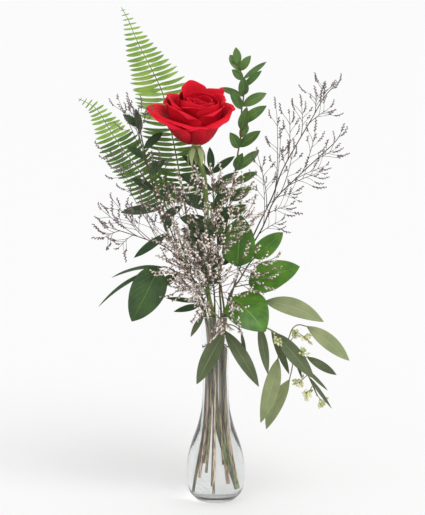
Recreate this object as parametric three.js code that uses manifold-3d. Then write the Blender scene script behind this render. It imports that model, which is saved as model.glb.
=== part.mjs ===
// A rose and mixed foliage in a clear glass bud vase.
// Millimetres, +Z up, +X right, +Y away from the front. The origin is the middle of the vase's base.
import * as THREE from "three";
import { mergeVertices } from "three/addons/utils/BufferGeometryUtils.js";
import Module from "manifold-3d";

const wasm = await Module();
wasm.setup();

// Driving dimensions
const VASE_HEIGHT = 190;
const WALL = 2.4;
const RIM_CHAMFER = 0.7;
const GLASS_SIDES = 20;
const WATER_LEVEL = 158;
const GAP = 0.3;
const NECK_RING = 7.8;
const LIP_RING = 11.5;
const STEM_SIDES = 3;
const ROSE_STEM_RADIUS = 2.5;
const ROSE_STEM_SIDES = 6;
const ROSE_HIP_FLARE = 2.2;
const ROSE_HIP_DROP = 9;
const THIN_STEM_RADIUS = 1.25;
const MAIN_RADIUS = 0.8;
const BLADE = 0.7;
const PETAL = 0.9;
const SEPAL_LENGTH = 19;
const SEPAL_HALF_WIDTH = 2.6;
const FERN_BLADE = 0.8;
const LEAF_EDGE = 0.4;
const BROAD_LEAF = 12;
const PETIOLE_RADIUS = 0.7;
const MERGE_DISTANCE = 1e-4;

// Outside of the vase, [radius, height], from the base up to the lip
const VASE_OUTSIDE = [
  [20, 0], [26.3, 7], [29.2, 17], [29.6, 28], [28.3, 43], [24.4, 58], [18.6, 75],
  [14.1, 95], [12.9, 120], [13.4, 150], [15.2, 178], [17.5, VASE_HEIGHT - 1],
];
const VASE_FLOOR = 6;

// ---------------------------------------------------------------- geometry helpers

const vector = (p) => new THREE.Vector3(...p);

function solidOf(geometry) {
  const bare = geometry.clone();
  bare.deleteAttribute("normal");
  bare.deleteAttribute("uv");
  const merged = mergeVertices(bare, MERGE_DISTANCE);
  return new wasm.Manifold(
    new wasm.Mesh({
      numProp: 3,
      vertProperties: merged.attributes.position.array,
      triVerts: new Uint32Array(merged.index.array),
    }),
  );
}

function joined(solids) {
  return solids.reduce((all, one) => all.add(one));
}

// The biggest body of a solid: loose scraps go, and pockets sealed by the joining are filled.
function wholeOf(solid) {
  return solid.decompose().reduce((best, one) => (one.volume() > best.volume() ? one : best));
}

// A closed round rod along a route, which is a list of points; radiusAt gives its radius at each
// share of the route from 0 to 1.
function rod(route, radiusAt, sides) {
  const rings = route.length - 1;
  const bent = new THREE.CylinderGeometry(1, 1, 1, sides, rings);
  const position = bent.getAttribute("position");
  let side = new THREE.Vector3(1, 0, 0);
  const frames = route.map((_, ring) => {
    const along = directionAt(route, ring);
    side = side.clone().addScaledVector(along, -side.dot(along)).normalize();
    return { side, across: along.clone().cross(side) };
  });
  for (let i = 0; i < position.count; i++) {
    const ring = Math.round((position.getY(i) + 0.5) * rings);
    const radius = radiusAt(ring / rings);
    const point = route[ring].clone();
    point.addScaledVector(frames[ring].side, radius * position.getX(i));
    point.addScaledVector(frames[ring].across, -radius * position.getZ(i));
    position.setXYZ(i, point.x, point.y, point.z);
  }
  return solidOf(bent);
}

// Which way a route runs at one of its points
function directionAt(route, k) {
  const before = route[Math.max(k - 1, 0)];
  const after = route[Math.min(k + 1, route.length - 1)];
  return after.clone().sub(before).normalize();
}

// The point of some routes that is nearest to a given one
function nearestOn(routes, point) {
  const candidates = routes.flatMap((route) =>
    route.slice(1).map((end, k) =>
      new THREE.Line3(route[k], end).closestPointToPoint(point, true, new THREE.Vector3()),
    ),
  );
  return candidates.reduce((a, b) => (b.distanceTo(point) < a.distanceTo(point) ? b : a));
}

const tapered = (from, to) => (t) => THREE.MathUtils.lerp(from, to, t);

const smoothCurve = (points) => new THREE.CatmullRomCurve3(points, false, "catmullrom", 0.5);

// A sheet of even thickness: points and the triangles of its upper face, counter-clockwise from above.
function sheet(points, triangles, thickness) {
  const normals = points.map(() => new THREE.Vector3());
  for (const corners of triangles) {
    const [a, b, c] = corners.map((k) => points[k]);
    const normal = b.clone().sub(a).cross(c.clone().sub(a));
    corners.forEach((k) => normals[k].add(normal));
  }
  const vertices = [];
  for (const half of [thickness / 2, -thickness / 2])
    points.forEach((p, k) =>
      vertices.push(...p.clone().addScaledVector(normals[k].clone().normalize(), half).toArray()),
    );
  const under = points.length;
  const faces = [];
  const edges = new Set();
  for (const [a, b, c] of triangles) {
    faces.push(a, b, c, a + under, c + under, b + under);
    edges.add(`${a} ${b}`).add(`${b} ${c}`).add(`${c} ${a}`);
  }
  for (const edge of edges) {
    const [a, b] = edge.split(" ").map(Number);
    if (!edges.has(`${b} ${a}`)) faces.push(b, a, a + under, b, a + under, b + under);
  }
  return new wasm.Manifold(
    new wasm.Mesh({
      numProp: 3,
      vertProperties: new Float32Array(vertices),
      triVerts: new Uint32Array(faces),
    }),
  );
}

// A sheet that fans out from one root point over a grid of rows by columns cells; pointAt(t, u)
// has t from 0 at the root to 1, and u from -1 to 1 across.
function fanSheet(rows, columns, pointAt, thickness) {
  const points = [pointAt(0, 0)];
  const triangles = [];
  for (let i = 1; i <= rows; i++)
    for (let j = 0; j <= columns; j++) {
      const k = points.push(pointAt(i / rows, (2 * j) / columns - 1)) - 1;
      const below = k - columns - 1;
      if (j === 0) continue;
      if (i === 1) triangles.push([0, k, k - 1]);
      else triangles.push([below - 1, below, k], [below - 1, k, k - 1]);
    }
  return sheet(points, triangles, thickness);
}

// ---------------------------------------------------------------- leaves

// Each leaf kind: where it starts and ends narrowing, its fold along the midrib, arch and edge wave.
const LEAF_KINDS = {
  myrtle: { low: 0.7, high: 0.75, fold: 0.22, arch: 0.08, wave: 0, rows: 3, columns: 2 },
  salal: { low: 0.5, high: 0.75, fold: 0.12, arch: 0.08, wave: 0.05, rows: 5, columns: 4 },
  eucalyptus: { low: 0.75, high: 0.9, fold: 0.1, arch: 0.06, wave: 0, rows: 3, columns: 2 },
};

function leafHalfWidth(kind, t) {
  const peak = kind.low / (kind.low + kind.high);
  const most = peak ** kind.low * (1 - peak) ** kind.high;
  return (t ** kind.low * (1 - t) ** kind.high) / most;
}

const EDGE_WAVES = 9;

// A leaf from its root to its tip with its upper side towards face.
function leaf(kind, start, [tip, width, face = [0, -1, 0.3], bend = 0]) {
  const along = vector(tip).sub(start);
  const length = along.length();
  const across = vector(face).cross(along).normalize();
  const up = along.clone().cross(across).normalize();
  const pointAt = (t, u) => {
    const half = Math.max(LEAF_EDGE, (width / 2) * leafHalfWidth(kind, t));
    const arch = 4 * t * (1 - t);
    const height =
      kind.arch * length * arch +
      kind.fold * half * Math.abs(u) +
      kind.wave * width * Math.sin(EDGE_WAVES * t + 2 * u) * u * u;
    return start
      .clone()
      .addScaledVector(along, t)
      .addScaledVector(across, half * u + bend * arch)
      .addScaledVector(up, height);
  };
  return fanSheet(kind.rows, kind.columns, pointAt, BLADE);
}

// ---------------------------------------------------------------- vase and water

function latheOf(profile, sides) {
  return new THREE.LatheGeometry(
    profile.map(([r, z]) => new THREE.Vector2(r, z)),
    sides,
  ).rotateX(Math.PI / 2);
}

// Inside of the vase from its floor up to the lip
const INSIDE = [
  [19, VASE_FLOOR],
  [24.6, VASE_FLOOR + 4],
  ...VASE_OUTSIDE.slice(2).map(([r, z]) => [r - WALL, z]),
];

function radiusInside(height) {
  const k = INSIDE.findIndex(([, z]) => z >= height);
  const [r0, z0] = INSIDE[k - 1];
  const [r1, z1] = INSIDE[k];
  return r0 + ((r1 - r0) * (height - z0)) / (z1 - z0);
}

function vaseSolid() {
  const lip = VASE_OUTSIDE.at(-1)[0];
  const rim = [[lip - RIM_CHAMFER, VASE_HEIGHT], [lip - WALL + RIM_CHAMFER, VASE_HEIGHT]];
  const inside = INSIDE.toReversed();
  const profile = [[0, 0], ...VASE_OUTSIDE, ...rim, ...inside, [0, VASE_FLOOR]];
  return solidOf(latheOf(profile, GLASS_SIDES));
}

function waterSolid(holes) {
  const profile = [
    [0, VASE_FLOOR + GAP],
    ...INSIDE.filter(([, z]) => z < WATER_LEVEL).map(([r, z]) => [r - GAP, z + GAP]),
    [radiusInside(WATER_LEVEL) - GAP, WATER_LEVEL],
    [0, WATER_LEVEL],
  ];
  return solidOf(latheOf(profile, GLASS_SIDES)).subtract(joined(holes));
}

// ---------------------------------------------------------------- stems in the vase

// How far out a thin stem stands at each height: spread in the bulb, gathered in the neck.
const STEM_SPREAD = [
  [8, 17.5], [30, 14.5], [62, 10.2], [95, NECK_RING], [160, NECK_RING], [189, LIP_RING],
];

const LEAST_CUT_STEP = 6;

function stemInVase(azimuth, cutHeight) {
  const angle = THREE.MathUtils.degToRad(azimuth);
  const place = (height, radius) => [radius * Math.cos(angle), radius * Math.sin(angle), height];
  const above = STEM_SPREAD.filter(([z]) => z > cutHeight + LEAST_CUT_STEP);
  const k = STEM_SPREAD.indexOf(above[0]);
  const [z0, r0] = STEM_SPREAD[k - 1];
  const [z1, r1] = above[0];
  const cut = r0 + ((r1 - r0) * (cutHeight - z0)) / (z1 - z0);
  return [place(cutHeight, cut), ...above.map(([z, r]) => place(z, r))];
}

const holes = [];

// A stem from its cut end up, and the hole it stands in.
function stem(route, radiusAt, sides) {
  holes.push(rod(route, (t) => radiusAt(t) + GAP, sides));
  return rod(route, radiusAt, sides);
}

function thinRoute({ azimuth, cut, free }) {
  return [...stemInVase(azimuth, cut), ...free].map(vector);
}

// ---------------------------------------------------------------- rose

const BLOOM_BASE = [-19, -9, 361];
const BLOOM_TILT = 9;
const BLOOM_LEAN = 4;

// How petals run from foot to lip, as shares of the lip's radius and height, how much their top
// narrows, how round it is, and how far one side is tucked under its neighbour
const PETAL_RUNS = {
  bud: {
    points: [[0.25, 0.2], [0.85, 0.45], [1.06, 0.7], [1.03, 0.9], [0.97, 1]],
    narrowing: 0.08,
    roundness: 1.6,
    tuck: 1.6,
  },
  middle: {
    points: [[0.2, 0.12], [0.7, 0.34], [0.9, 0.6], [0.92, 0.84], [1, 0.98], [1.1, 1]],
    narrowing: 0.16,
    roundness: 1.3,
    tuck: 2.4,
  },
  outer: {
    points: [
      [0.12, 0.05], [0.4, 0.15], [0.58, 0.38], [0.75, 0.7], [0.91, 0.95], [1.05, 1], [1.13, 0.93],
    ],
    narrowing: 0.24,
    roundness: 1,
    tuck: 3,
  },
};
// Each petal: its run, azimuth, half angle, radius and height of the lip, fall of its corners, and
// how much one of them stands higher than the middle
const PETALS = [
  ["bud", 290, 120, 8.5, 46, 1.5, 0],
  ["bud", 85, 92, 17, 50, 2.5, 0],
  ["middle", 266, 62, 22.5, 43, 2, 0],
  ["middle", 186, 56, 29, 47, 6, -3],
  ["middle", 325, 58, 25, 42, 4, 3],
  ["outer", 113, 44, 24, 59, 10, 0],
  ["outer", 62, 48, 25, 53, 6, -4],
  ["outer", 326, 54, 33, 36, 5, 8],
  ["outer", 180, 50, 46, 34, 9, -1],
  ["outer", 236, 56, 36, 29, 5, -3],
  ["outer", 284, 54, 31, 27, 5, 2],
  ["outer", 212, 46, 42, 30, 5, -5],
];
const PETAL_FULL_WIDTH = 0.6;
const PETAL_FOOT_WIDTH = 0.2;
const PETAL_ROUNDING = 0.8;
const CORNER_POWER = 1.6;
const CORNER_OUT = 0.45;
const CORNER_DOWN = 0.6;
const RECEPTACLE = [[0, 0], [5, 0], [9.5, 6], [6.5, 22], [0, 24]];

// A petal widens up to its full width, and its upper corners fall outwards and down.
function petal([kind, azimuth, half, lipRadius, lipHeight, fall, slope]) {
  const { points, narrowing, roundness, tuck } = PETAL_RUNS[kind];
  const run = new THREE.SplineCurve(
    points.map(([r, z]) => new THREE.Vector2(r * lipRadius, z * lipHeight)),
  );
  const pointAt = (t, u) => {
    const at = run.getPoint(t * (1 - narrowing * Math.abs(u) ** roundness));
    const early = Math.sin((Math.PI / 2) * Math.min(1, t / PETAL_FULL_WIDTH));
    const late = Math.max(0, (t - PETAL_FULL_WIDTH) / (1 - PETAL_FULL_WIDTH));
    const growth = THREE.MathUtils.lerp(PETAL_FOOT_WIDTH, 1, early);
    const spread = growth * Math.sqrt(1 - PETAL_ROUNDING * late ** 2);
    const angle = THREE.MathUtils.degToRad(azimuth + half * u * spread);
    const corner = fall * late ** 2 * Math.abs(u) ** CORNER_POWER;
    const radius = at.x + CORNER_OUT * corner - tuck * u * t;
    const height = at.y + slope * u * t - CORNER_DOWN * corner;
    return new THREE.Vector3(radius * Math.cos(angle), radius * Math.sin(angle), height);
  };
  return fanSheet(kind === "outer" ? 3 : 2, 4, pointAt, PETAL);
}

function bloomSolid() {
  const head = wholeOf(joined([solidOf(latheOf(RECEPTACLE, 6)), ...PETALS.map(petal)]));
  return head.rotate([BLOOM_TILT, BLOOM_LEAN, 0]).translate(BLOOM_BASE);
}

// The rose's stem from its cut end to below its hip
const ROSE_ROUTE = [
  [17, -1, 12], [11, -1, 34], [4, 0, 62], [0, 0, 95], [-1, 0, 160], [-4, -1, 192],
  [-8, -3, 215], [-9, -4, 275], [-10, -5, 312], [-13, -6, 336],
];
const SEPALS = 5;
const FIRST_SEPAL = 20;

function roseStemSolid() {
  const turns = [BLOOM_TILT, BLOOM_LEAN, 0].map(THREE.MathUtils.degToRad);
  const axis = new THREE.Vector3(0, 0, 1).applyEuler(new THREE.Euler(...turns, "ZYX"));
  const neck = vector(BLOOM_BASE).addScaledVector(axis, -GAP);
  const hip = neck.clone().addScaledVector(axis, -ROSE_HIP_DROP);
  const route = [...ROSE_ROUTE.map(vector), hip, neck];
  const radiusAt = (t) => ROSE_STEM_RADIUS + (t === 1 ? ROSE_HIP_FLARE : 0);
  const solid = stem(route, radiusAt, ROSE_STEM_SIDES);
  const sepals = Array.from({ length: SEPALS }, (_, k) => {
    const angle = THREE.MathUtils.degToRad(FIRST_SEPAL + (360 / SEPALS) * k);
    const at = (radius, height) =>
      neck.clone().add(new THREE.Vector3(radius * Math.cos(angle), radius * Math.sin(angle), height));
    const run = new THREE.QuadraticBezierCurve3(at(2, -3), at(9, -2), at(7, -SEPAL_LENGTH));
    const across = new THREE.Vector3(-Math.sin(angle), Math.cos(angle), 0);
    const halfWidth = tapered(SEPAL_HALF_WIDTH, LEAF_EDGE);
    const pointAt = (t, u) => run.getPoint(t).addScaledVector(across, u * halfWidth(t));
    return fanSheet(3, 1, pointAt, BLADE);
  });
  return wholeOf(joined([solid, ...sepals]));
}

// ---------------------------------------------------------------- ferns

const RACHIS_HALF_WIDTH = 0.9;
const LEAFLET_HALF_WIDTH = 2;
const LEAFLET_FULLEST = 0.55;
const LEAFLET_FOOT = 0.32;
const SHORTEST_LEAFLET = 2.5;
const FROND_END = 0.985;
const FROND_TAPER = 0.45;
const FERN_SPLICE = 2;

// A frond: a comb of leaflets along the rachis. They shorten over the last part, the taper, and
// on either side their sweep towards the tip goes from one value at the foot to another at the tip.
function frond(rachis, { pairs, longest, face, droop, sweeps }) {
  const points = [];
  const triangles = [];
  const quad = (a, b, c, d) => triangles.push([a, b, c], [a, c, d]);
  const add = (p) => points.push(p) - 1;
  const frameAt = (t) => {
    const share = THREE.MathUtils.clamp(t, 0, 1);
    const along = rachis.getTangentAt(share);
    const across = vector(face).cross(along).normalize();
    return { centre: rachis.getPointAt(share), along, across, up: along.clone().cross(across) };
  };
  let last = null;
  for (let i = 0; i < pairs; i++) {
    const share = i / (pairs - 1);
    const t = FROND_END * share;
    const length = longest * Math.min(1, (1 - share) / FROND_TAPER) + SHORTEST_LEAFLET;
    const root = [];
    for (const shift of [-LEAFLET_FOOT, LEAFLET_FOOT]) {
      const { centre, across } = frameAt(t + shift / pairs);
      root.push(
        [-1, 1].map((s) => add(centre.clone().addScaledVector(across, s * RACHIS_HALF_WIDTH))),
      );
    }
    const [low, high] = root;
    if (last) quad(last[0], last[1], low[1], low[0]);
    quad(low[0], low[1], high[1], high[0]);
    last = high;
    const { centre, along, across, up } = frameAt(t);
    for (const s of [-1, 1]) {
      const k = (s + 1) / 2;
      const sweep = THREE.MathUtils.lerp(...sweeps[k], share);
      const out = (d, forward) =>
        add(
          centre
            .clone()
            .addScaledVector(across, s * d * length)
            .addScaledVector(along, forward + sweep * d * length)
            .addScaledVector(up, -droop * d * d * length),
        );
      const near = out(LEAFLET_FULLEST, -LEAFLET_HALF_WIDTH);
      const far = out(LEAFLET_FULLEST, LEAFLET_HALF_WIDTH);
      const tip = out(1, 0);
      if (s > 0) {
        quad(low[k], near, far, high[k]);
        triangles.push([near, tip, far]);
      } else {
        quad(near, low[k], high[k], far);
        triangles.push([tip, near, far]);
      }
    }
  }
  return sheet(points, triangles, FERN_BLADE);
}

const FERN_TALL = {
  azimuth: 96,
  cut: 12,
  pairs: 22,
  longest: 26,
  face: [0, -1, 0.15],
  droop: 0.08,
  sweeps: [[0.1, -0.2], [0.35, 0.25]],
  bare: [[-16, 20, 221], [-25, 28, 260]],
  leafy: [
    [-32, 36, 300], [-38, 40, 335], [-45, 43, 370], [-52, 44, 403], [-59, 44, 421], [-69, 42, 441],
    [-79, 40, 461], [-87, 37, 481], [-94, 35, 494],
  ],
};
const FERN_LEFT = {
  azimuth: 126,
  cut: 34,
  pairs: 16,
  longest: 19,
  face: [0.1, -1, 0.2],
  droop: 0.15,
  sweeps: [[0.1, -0.25], [0.3, 0.2]],
  bare: [[-23, 15, 222], [-36, 22, 261]],
  leafy: [
    [-51, 26, 296], [-66, 28, 316], [-81, 28, 337], [-94, 28, 354], [-106, 27, 372], [-117, 25, 391],
    [-125, 24, 398], [-137, 22, 404],
  ],
};

// The stem runs a little way into the frond, whose own middle strip goes on as the rachis.
function fern({ leafy, bare, ...plan }) {
  const rachis = smoothCurve(leafy.map(vector));
  const foot = rachis.getPointAt(0);
  const splice = foot.clone().addScaledVector(rachis.getTangentAt(0), FERN_SPLICE);
  const route = [...thinRoute({ ...plan, free: bare }), foot, splice];
  const bareStem = stem(route, tapered(THIN_STEM_RADIUS, RACHIS_HALF_WIDTH), STEM_SIDES);
  return wholeOf(joined([bareStem, frond(rachis, plan)]));
}

// ---------------------------------------------------------------- leafy stems

const MYRTLE_TALL = {
  kind: "myrtle",
  azimuth: 62,
  cut: 14,
  free: [
    [4, 14, 215], [8, 18, 257], [15, 23, 302], [19, 26, 327], [22, 28, 347], [26, 30, 372],
    [26, 30, 392], [28, 29, 407], [27, 28, 424], [22, 28, 438],
  ],
  leaves: [
    [[22, 28, 437], [20, 26, 455], 9],
    [[25, 28, 432], [35, 22, 447], 9],
    [[25, 28, 432], [14, 34, 447], 10],
    [[27, 28, 423], [16, 22, 433], 9],
    [[27, 28, 423], [51, 36, 440], 6],
    [[28, 29, 415], [46, 24, 432], 7],
    [[28, 29, 407], [27, 12, 427], 11],
    [[28, 29, 406], [4, 34, 414], 7],
    [[26, 30, 393], [14, 20, 413], 10],
    [[27, 30, 396], [51, 30, 409], 11],
    [[26, 30, 379], [51, 24, 397], 11],
    [[26, 30, 372], [31, 12, 397], 11],
    [[24, 29, 355], [45, 22, 372], 11],
    [[24, 29, 354], [14, 16, 371], 11],
    [[24, 30, 364], [32, 42, 377], 9],
    [[20, 27, 333], [27, 12, 351], 10],
    [[20, 27, 331], [44, 36, 351], 10],
    [[18, 25, 318], [42, 20, 331], 9],
    [[15, 23, 304], [-5, 18, 319], 12],
    [[15, 23, 302], [36, 16, 316], 12],
    [[12, 21, 286], [-9, 18, 300], 12],
    [[12, 21, 284], [31, 12, 299], 12],
    [[10, 19, 268], [-11, 14, 282], 12],
    [[10, 19, 266], [27, 10, 283], 12],
    [[7, 17, 246], [23, 8, 262], 11],
  ],
};

const MYRTLE_LEFT = {
  kind: "myrtle",
  azimuth: 152,
  cut: 26,
  free: [
    [-14, 8, 206], [-26, 10, 230], [-41, 12, 255], [-54, 13, 285], [-63, 13, 318],
    [-70, 12, 348], [-76, 10, 378],
  ],
  leaves: [
    [[-76, 10, 377], [-92, 5, 390], 8],
    [[-75, 10, 372], [-79, 2, 396], 8],
    [[-72, 12, 355], [-53, 18, 371], 9],
    [[-70, 12, 345], [-88, 8, 358], 8],
    [[-66, 13, 330], [-50, 4, 345], 9],
    [[-62, 13, 314], [-84, 6, 326], 9],
    [[-60, 13, 305], [-40, 8, 318], 9],
    [[-57, 13, 295], [-95, 5, 292], 10],
    [[-54, 13, 285], [-34, 20, 296], 9],
    [[-48, 12, 270], [-82, 6, 246], 9],
    [[-50, 12, 274], [-43, 2, 294], 9],
  ],
};

const MYRTLE_CENTRE = {
  kind: "myrtle",
  azimuth: 42,
  cut: 40,
  free: [[6, 5, 212], [3, 4, 236], [2, 4, 262], [0, 5, 290], [-3, 6, 315], [-4, 6, 334]],
  leaves: [
    [[-4, 6, 333], [-6, 2, 358], 8],
    [[-4, 6, 331], [19, 0, 349], 8],
    [[-4, 6, 329], [-34, 10, 349], 10],
    [[-3, 6, 316], [23, 1, 333], 9],
    [[-3, 6, 314], [-36, 10, 329], 11],
    [[-1, 5, 298], [17, -1, 318], 13],
    [[-1, 5, 296], [-36, 10, 307], 14],
    [[1, 4, 279], [16, -2, 300], 13],
    [[1, 4, 277], [-36, 10, 286], 15],
    [[2, 4, 260], [18, -3, 276], 12],
    [[2, 4, 258], [-34, 9, 264], 14],
    [[3, 4, 240], [19, -3, 254], 12],
    [[3, 4, 238], [-18, 7, 242], 12],
    [[4, 5, 222], [-13, 5, 226], 10],
    [[2, 4, 268], [-35, 7, 275], 12],
    [[2, 4, 249], [-31, 6, 252], 12],
    [[3, 5, 230], [-22, 5, 233], 11],
  ],
};

// Leaves, their stalks and seeds start at the point of the stem or stalk that is nearest.
function leafyStem(plan) {
  const { leaves, petioles = [], seeds = [] } = plan;
  const route = thinRoute(plan);
  const routes = [route];
  const pieces = [stem(route, tapered(THIN_STEM_RADIUS, MAIN_RADIUS), STEM_SIDES)];
  for (const points of petioles) {
    const [root, ...rest] = points.map(vector);
    const stalk = [nearestOn(routes, root), ...rest];
    pieces.push(rod(stalk, tapered(PETIOLE_RADIUS, PETIOLE_RADIUS), STEM_SIDES));
    routes.push(stalk);
  }
  for (const [base, ...shape] of leaves) {
    const kind = shape[1] > BROAD_LEAF ? plan.kind : plan.narrowKind ?? plan.kind;
    pieces.push(leaf(LEAF_KINDS[kind], nearestOn(routes, vector(base)), shape));
  }
  for (const [root, end] of seeds)
    pieces.push(seedCluster(nearestOn(routes, vector(root)), vector(end)));
  return wholeOf(joined(pieces));
}

const SALAL_RIGHT = {
  kind: "salal",
  narrowKind: "eucalyptus",
  azimuth: 340,
  cut: 20,
  free: [[14, -8, 211], [24, -10, 227], [33, -9, 242], [39, -7, 249]],
  leaves: [
    [[20, -11, 239], [25, -15, 292], 33],
    [[38, -7, 248], [67, -3, 273], 19],
    [[33, -13, 222], [83, -24, 242], 31, [0, -0.9, 0.45]],
    [[15, -19, 211], [49, -42, 180], 43, [0, -0.8, 0.6]],
  ],
  petioles: [
    [[27, -10, 231], [21, -11, 241]],
    [[19, -9, 219], [27, -11, 221], [36, -14, 223]],
    [[14, -8, 211], [15, -14, 213], [18, -20, 208]],
  ],
};

const SALAL_LEFT = {
  kind: "salal",
  narrowKind: "eucalyptus",
  azimuth: 180,
  cut: 9,
  free: [[-15, -3, 198], [-25, -8, 215], [-38, -12, 232], [-50, -14, 240], [-57, -15, 239]],
  leaves: [
    [[-57, -15, 239], [-83, -30, 188], 35, [0.1, -1, 0.1]],
    [[-52, -13, 241], [-104, -8, 228], 9, [0, -0.3, 1]],
    [[-104, -8, 229], [-117, -11, 199], 6, [-1, -0.6, 0.5]],
    [[-39, -11, 232], [-55, -2, 219], 10, [0, -1, 0.2]],
    [[-18, -4, 203], [-50, -4, 207], 5],
    [[-16, -4, 199], [-42, -15, 195], 7],
  ],
};

const EUCALYPTUS_NECK = {
  kind: "eucalyptus",
  azimuth: 236,
  cut: 30,
  free: [[-6, -13, 194], [-2, -18, 194.5], [4, -21.5, 189], [9, -23, 181]],
  leaves: [
    [[9, -23, 177], [-19, -28, 124], 18, [-0.2, -1, 0.2]],
    [[10, -23, 178], [43, -26, 121], 15, [0.3, -1, 0.2]],
    [[26, -20, 176], [30, -23, 149], 4],
    [[-12, -15, 192], [-25, -18, 170], 7, [-0.6, -1, 0.2]],
  ],
  petioles: [
    [[8, -23, 184], [9, -23, 174]],
    [[8, -22, 184], [18, -21, 182], [27, -20, 174]],
    [[-5, -13, 194], [-10, -14.5, 194], [-13, -15.5, 190]],
  ],
};

const EUCALYPTUS_RIGHT = {
  kind: "eucalyptus",
  azimuth: 300,
  cut: 38,
  free: [
    [10, -11.5, 194.5], [16, -13, 194], [26, -14, 189], [46, -15, 181], [64, -15, 171],
    [75, -15, 163], [84, -15, 147], [95, -15, 125], [102, -15, 109],
  ],
  leaves: [
    [[48, -18, 207], [107, -27, 187], 19, [0, -1, 0.5], 3],
    [[91, -15, 181], [134, -9, 144], 17, [0.3, -1, 0.5]],
    [[91, -14, 151], [122, 2, 127], 9],
    [[58, -16, 171], [98, -25, 129], 16, [0.2, -1, 0.1]],
    [[97, -25, 131], [116, -23, 98], 4],
    [[55, -14, 175], [74, -5, 129], 8],
    [[42, -15, 178], [52, -23, 133], 10],
    [[62, -12, 147], [45, -17, 82], 17, [-0.2, -1, 0.1], 2],
    [[74, -11, 125], [51, -3, 72], 15, [-0.1, -1, 0.1], -2],
    [[91, -15, 140], [112, -21, 116], 4],
    [[76, -15, 161], [87, -8, 124], 4],
  ],
  petioles: [
    [[36, -14, 185], [40, -16, 199], [50, -18, 207]],
    [[72, -15, 166], [80, -15, 181], [92, -15, 180]],
    [[84, -15, 148], [93, -13, 149]],
    [[62, -15, 172], [63, -13, 158], [62, -12, 143]],
    [[76, -15, 162], [77, -12, 142], [73, -11, 121]],
  ],
  seeds: [
    [[56, -15, 176], [61, -19, 168]],
    [[74, -15, 164], [78, -20, 172]],
    [[84, -15, 147], [87, -20, 154]],
    [[92, -15, 131], [84, -18, 124]],
    [[97, -15, 120], [92, -18, 112]],
    [[101, -15, 111], [106, -17, 104]],
    [[79, -15, 176], [90, -19, 169]],
  ],
};
const SEED_RADIUS = 2;
const SEED_RING = 1.4;
const SEED_STALK_RADIUS = 0.6;

// Seeds sit in threes at the end of short stalks.
function seedCluster(root, end) {
  const seeds = [0, 1, 2].map((k) => {
    const angle = (2 * Math.PI * k) / 3;
    const middle = [
      end.x + SEED_RING * Math.cos(angle),
      end.y - SEED_STALK_RADIUS,
      end.z + SEED_RING * Math.sin(angle),
    ];
    return solidOf(new THREE.OctahedronGeometry(SEED_RADIUS).translate(...middle));
  });
  const stalk = rod([root, end], tapered(SEED_STALK_RADIUS, SEED_STALK_RADIUS), STEM_SIDES);
  return joined([stalk, ...seeds]);
}

// ---------------------------------------------------------------- sea lavender

// The sprays: main stems, and for each branch the place it leaves the main stem (counted in
// its points) and its tip. A fork is a main stem that leaves another one at a place.
const LAVENDER_RIGHT = {
  azimuth: 22,
  cut: 16,
  seed: 13,
  free: [
    [20, 7, 222], [28, 7, 246], [42, 5, 278], [56, 4, 307], [66, 4, 334], [80, 3, 360],
    [95, 2, 386], [109, 0, 410], [126, -2, 426],
  ],
  branches: [
    [2.6, [40, -12, 361]], [3.3, [60, -10, 408]], [4.4, [74, 14, 401]], [5.3, [86, 12, 408]],
    [6.2, [99, -8, 421]], [5.8, [120, -12, 404]], [6.8, [109, 10, 428]],
  ],
  forks: [
    {
      place: 0.9,
      seed: 12,
      free: [
        [46, -3, 277], [58, -11, 306], [80, -18, 330], [104, -15, 352], [118, -12, 365],
        [126, -10, 378],
      ],
      branches: [
        [0.8, [71, -26, 293]], [1.1, [46, -20, 345]], [1.5, [84, -10, 306]], [1.9, [65, -14, 378]],
        [2.1, [88, -25, 320]], [2.3, [79, -28, 370]], [2.6, [112, -6, 338]], [2.9, [118, -26, 347]],
        [3.2, [102, -4, 384]], [3.7, [127, -22, 364]],
      ],
    },
  ],
};
const LAVENDER_LEFT = {
  azimuth: 208,
  cut: 24,
  seed: 21,
  free: [
    [-20, -18, 215], [-32, -24, 245], [-50, -26, 262], [-70, -26, 270], [-92, -24, 277],
    [-112, -24, 283],
  ],
  branches: [
    [1.3, [-60, -34, 306]], [1.9, [-97, -20, 339]], [2.2, [-76, -34, 312]], [2.6, [-110, -27, 318]],
    [2.9, [-94, -28, 298]], [3.3, [-122, -14, 304]], [3.5, [-104, -24, 254]], [4.1, [-120, -16, 266]],
  ],
  forks: [
    {
      place: 0.3,
      seed: 22,
      free: [
        [-35, -24, 254], [-47, -25, 286], [-59, -23, 317], [-69, -19, 347], [-76, -16, 376],
        [-80, -16, 402],
      ],
      branches: [
        [1.4, [-40, -36, 330]], [2.3, [-109, -25, 347]], [2.7, [-122, -16, 366]],
        [3.1, [-54, -36, 360]], [3.7, [-100, -7, 416]], [4.3, [-88, -5, 408]], [4.8, [-72, -22, 408]],
      ],
    },
  ],
};
const LAVENDER_CENTRE = {
  azimuth: 264,
  cut: 10,
  seed: 33,
  free: [
    [-1, -16, 206], [-2, -21, 222], [-4, -30, 252], [-8, -38, 284], [-14, -40, 312], [-18, -40, 336],
  ],
  branches: [
    [0.15, [12, -54, 186]], [0.3, [34, -54, 206]], [0.45, [-22, -54, 218]], [0.55, [24, -56, 220]],
    [0.65, [-40, -50, 236]], [0.72, [60, -46, 236]], [0.8, [-14, -58, 238]], [0.9, [66, -42, 258]],
    [1, [-54, -46, 258]], [1.1, [44, -52, 254]], [1.18, [-26, -56, 260]], [1.27, [-8, -58, 272]],
    [1.35, [-62, -40, 284]], [1.5, [-38, -52, 290]], [1.62, [16, -50, 298]], [1.75, [40, -42, 312]],
    [1.9, [-10, -54, 308]], [2.05, [-60, -36, 322]], [2.3, [28, -44, 332]], [2.5, [-38, -42, 336]],
    [2.9, [6, -40, 342]],
  ],
};

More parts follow.
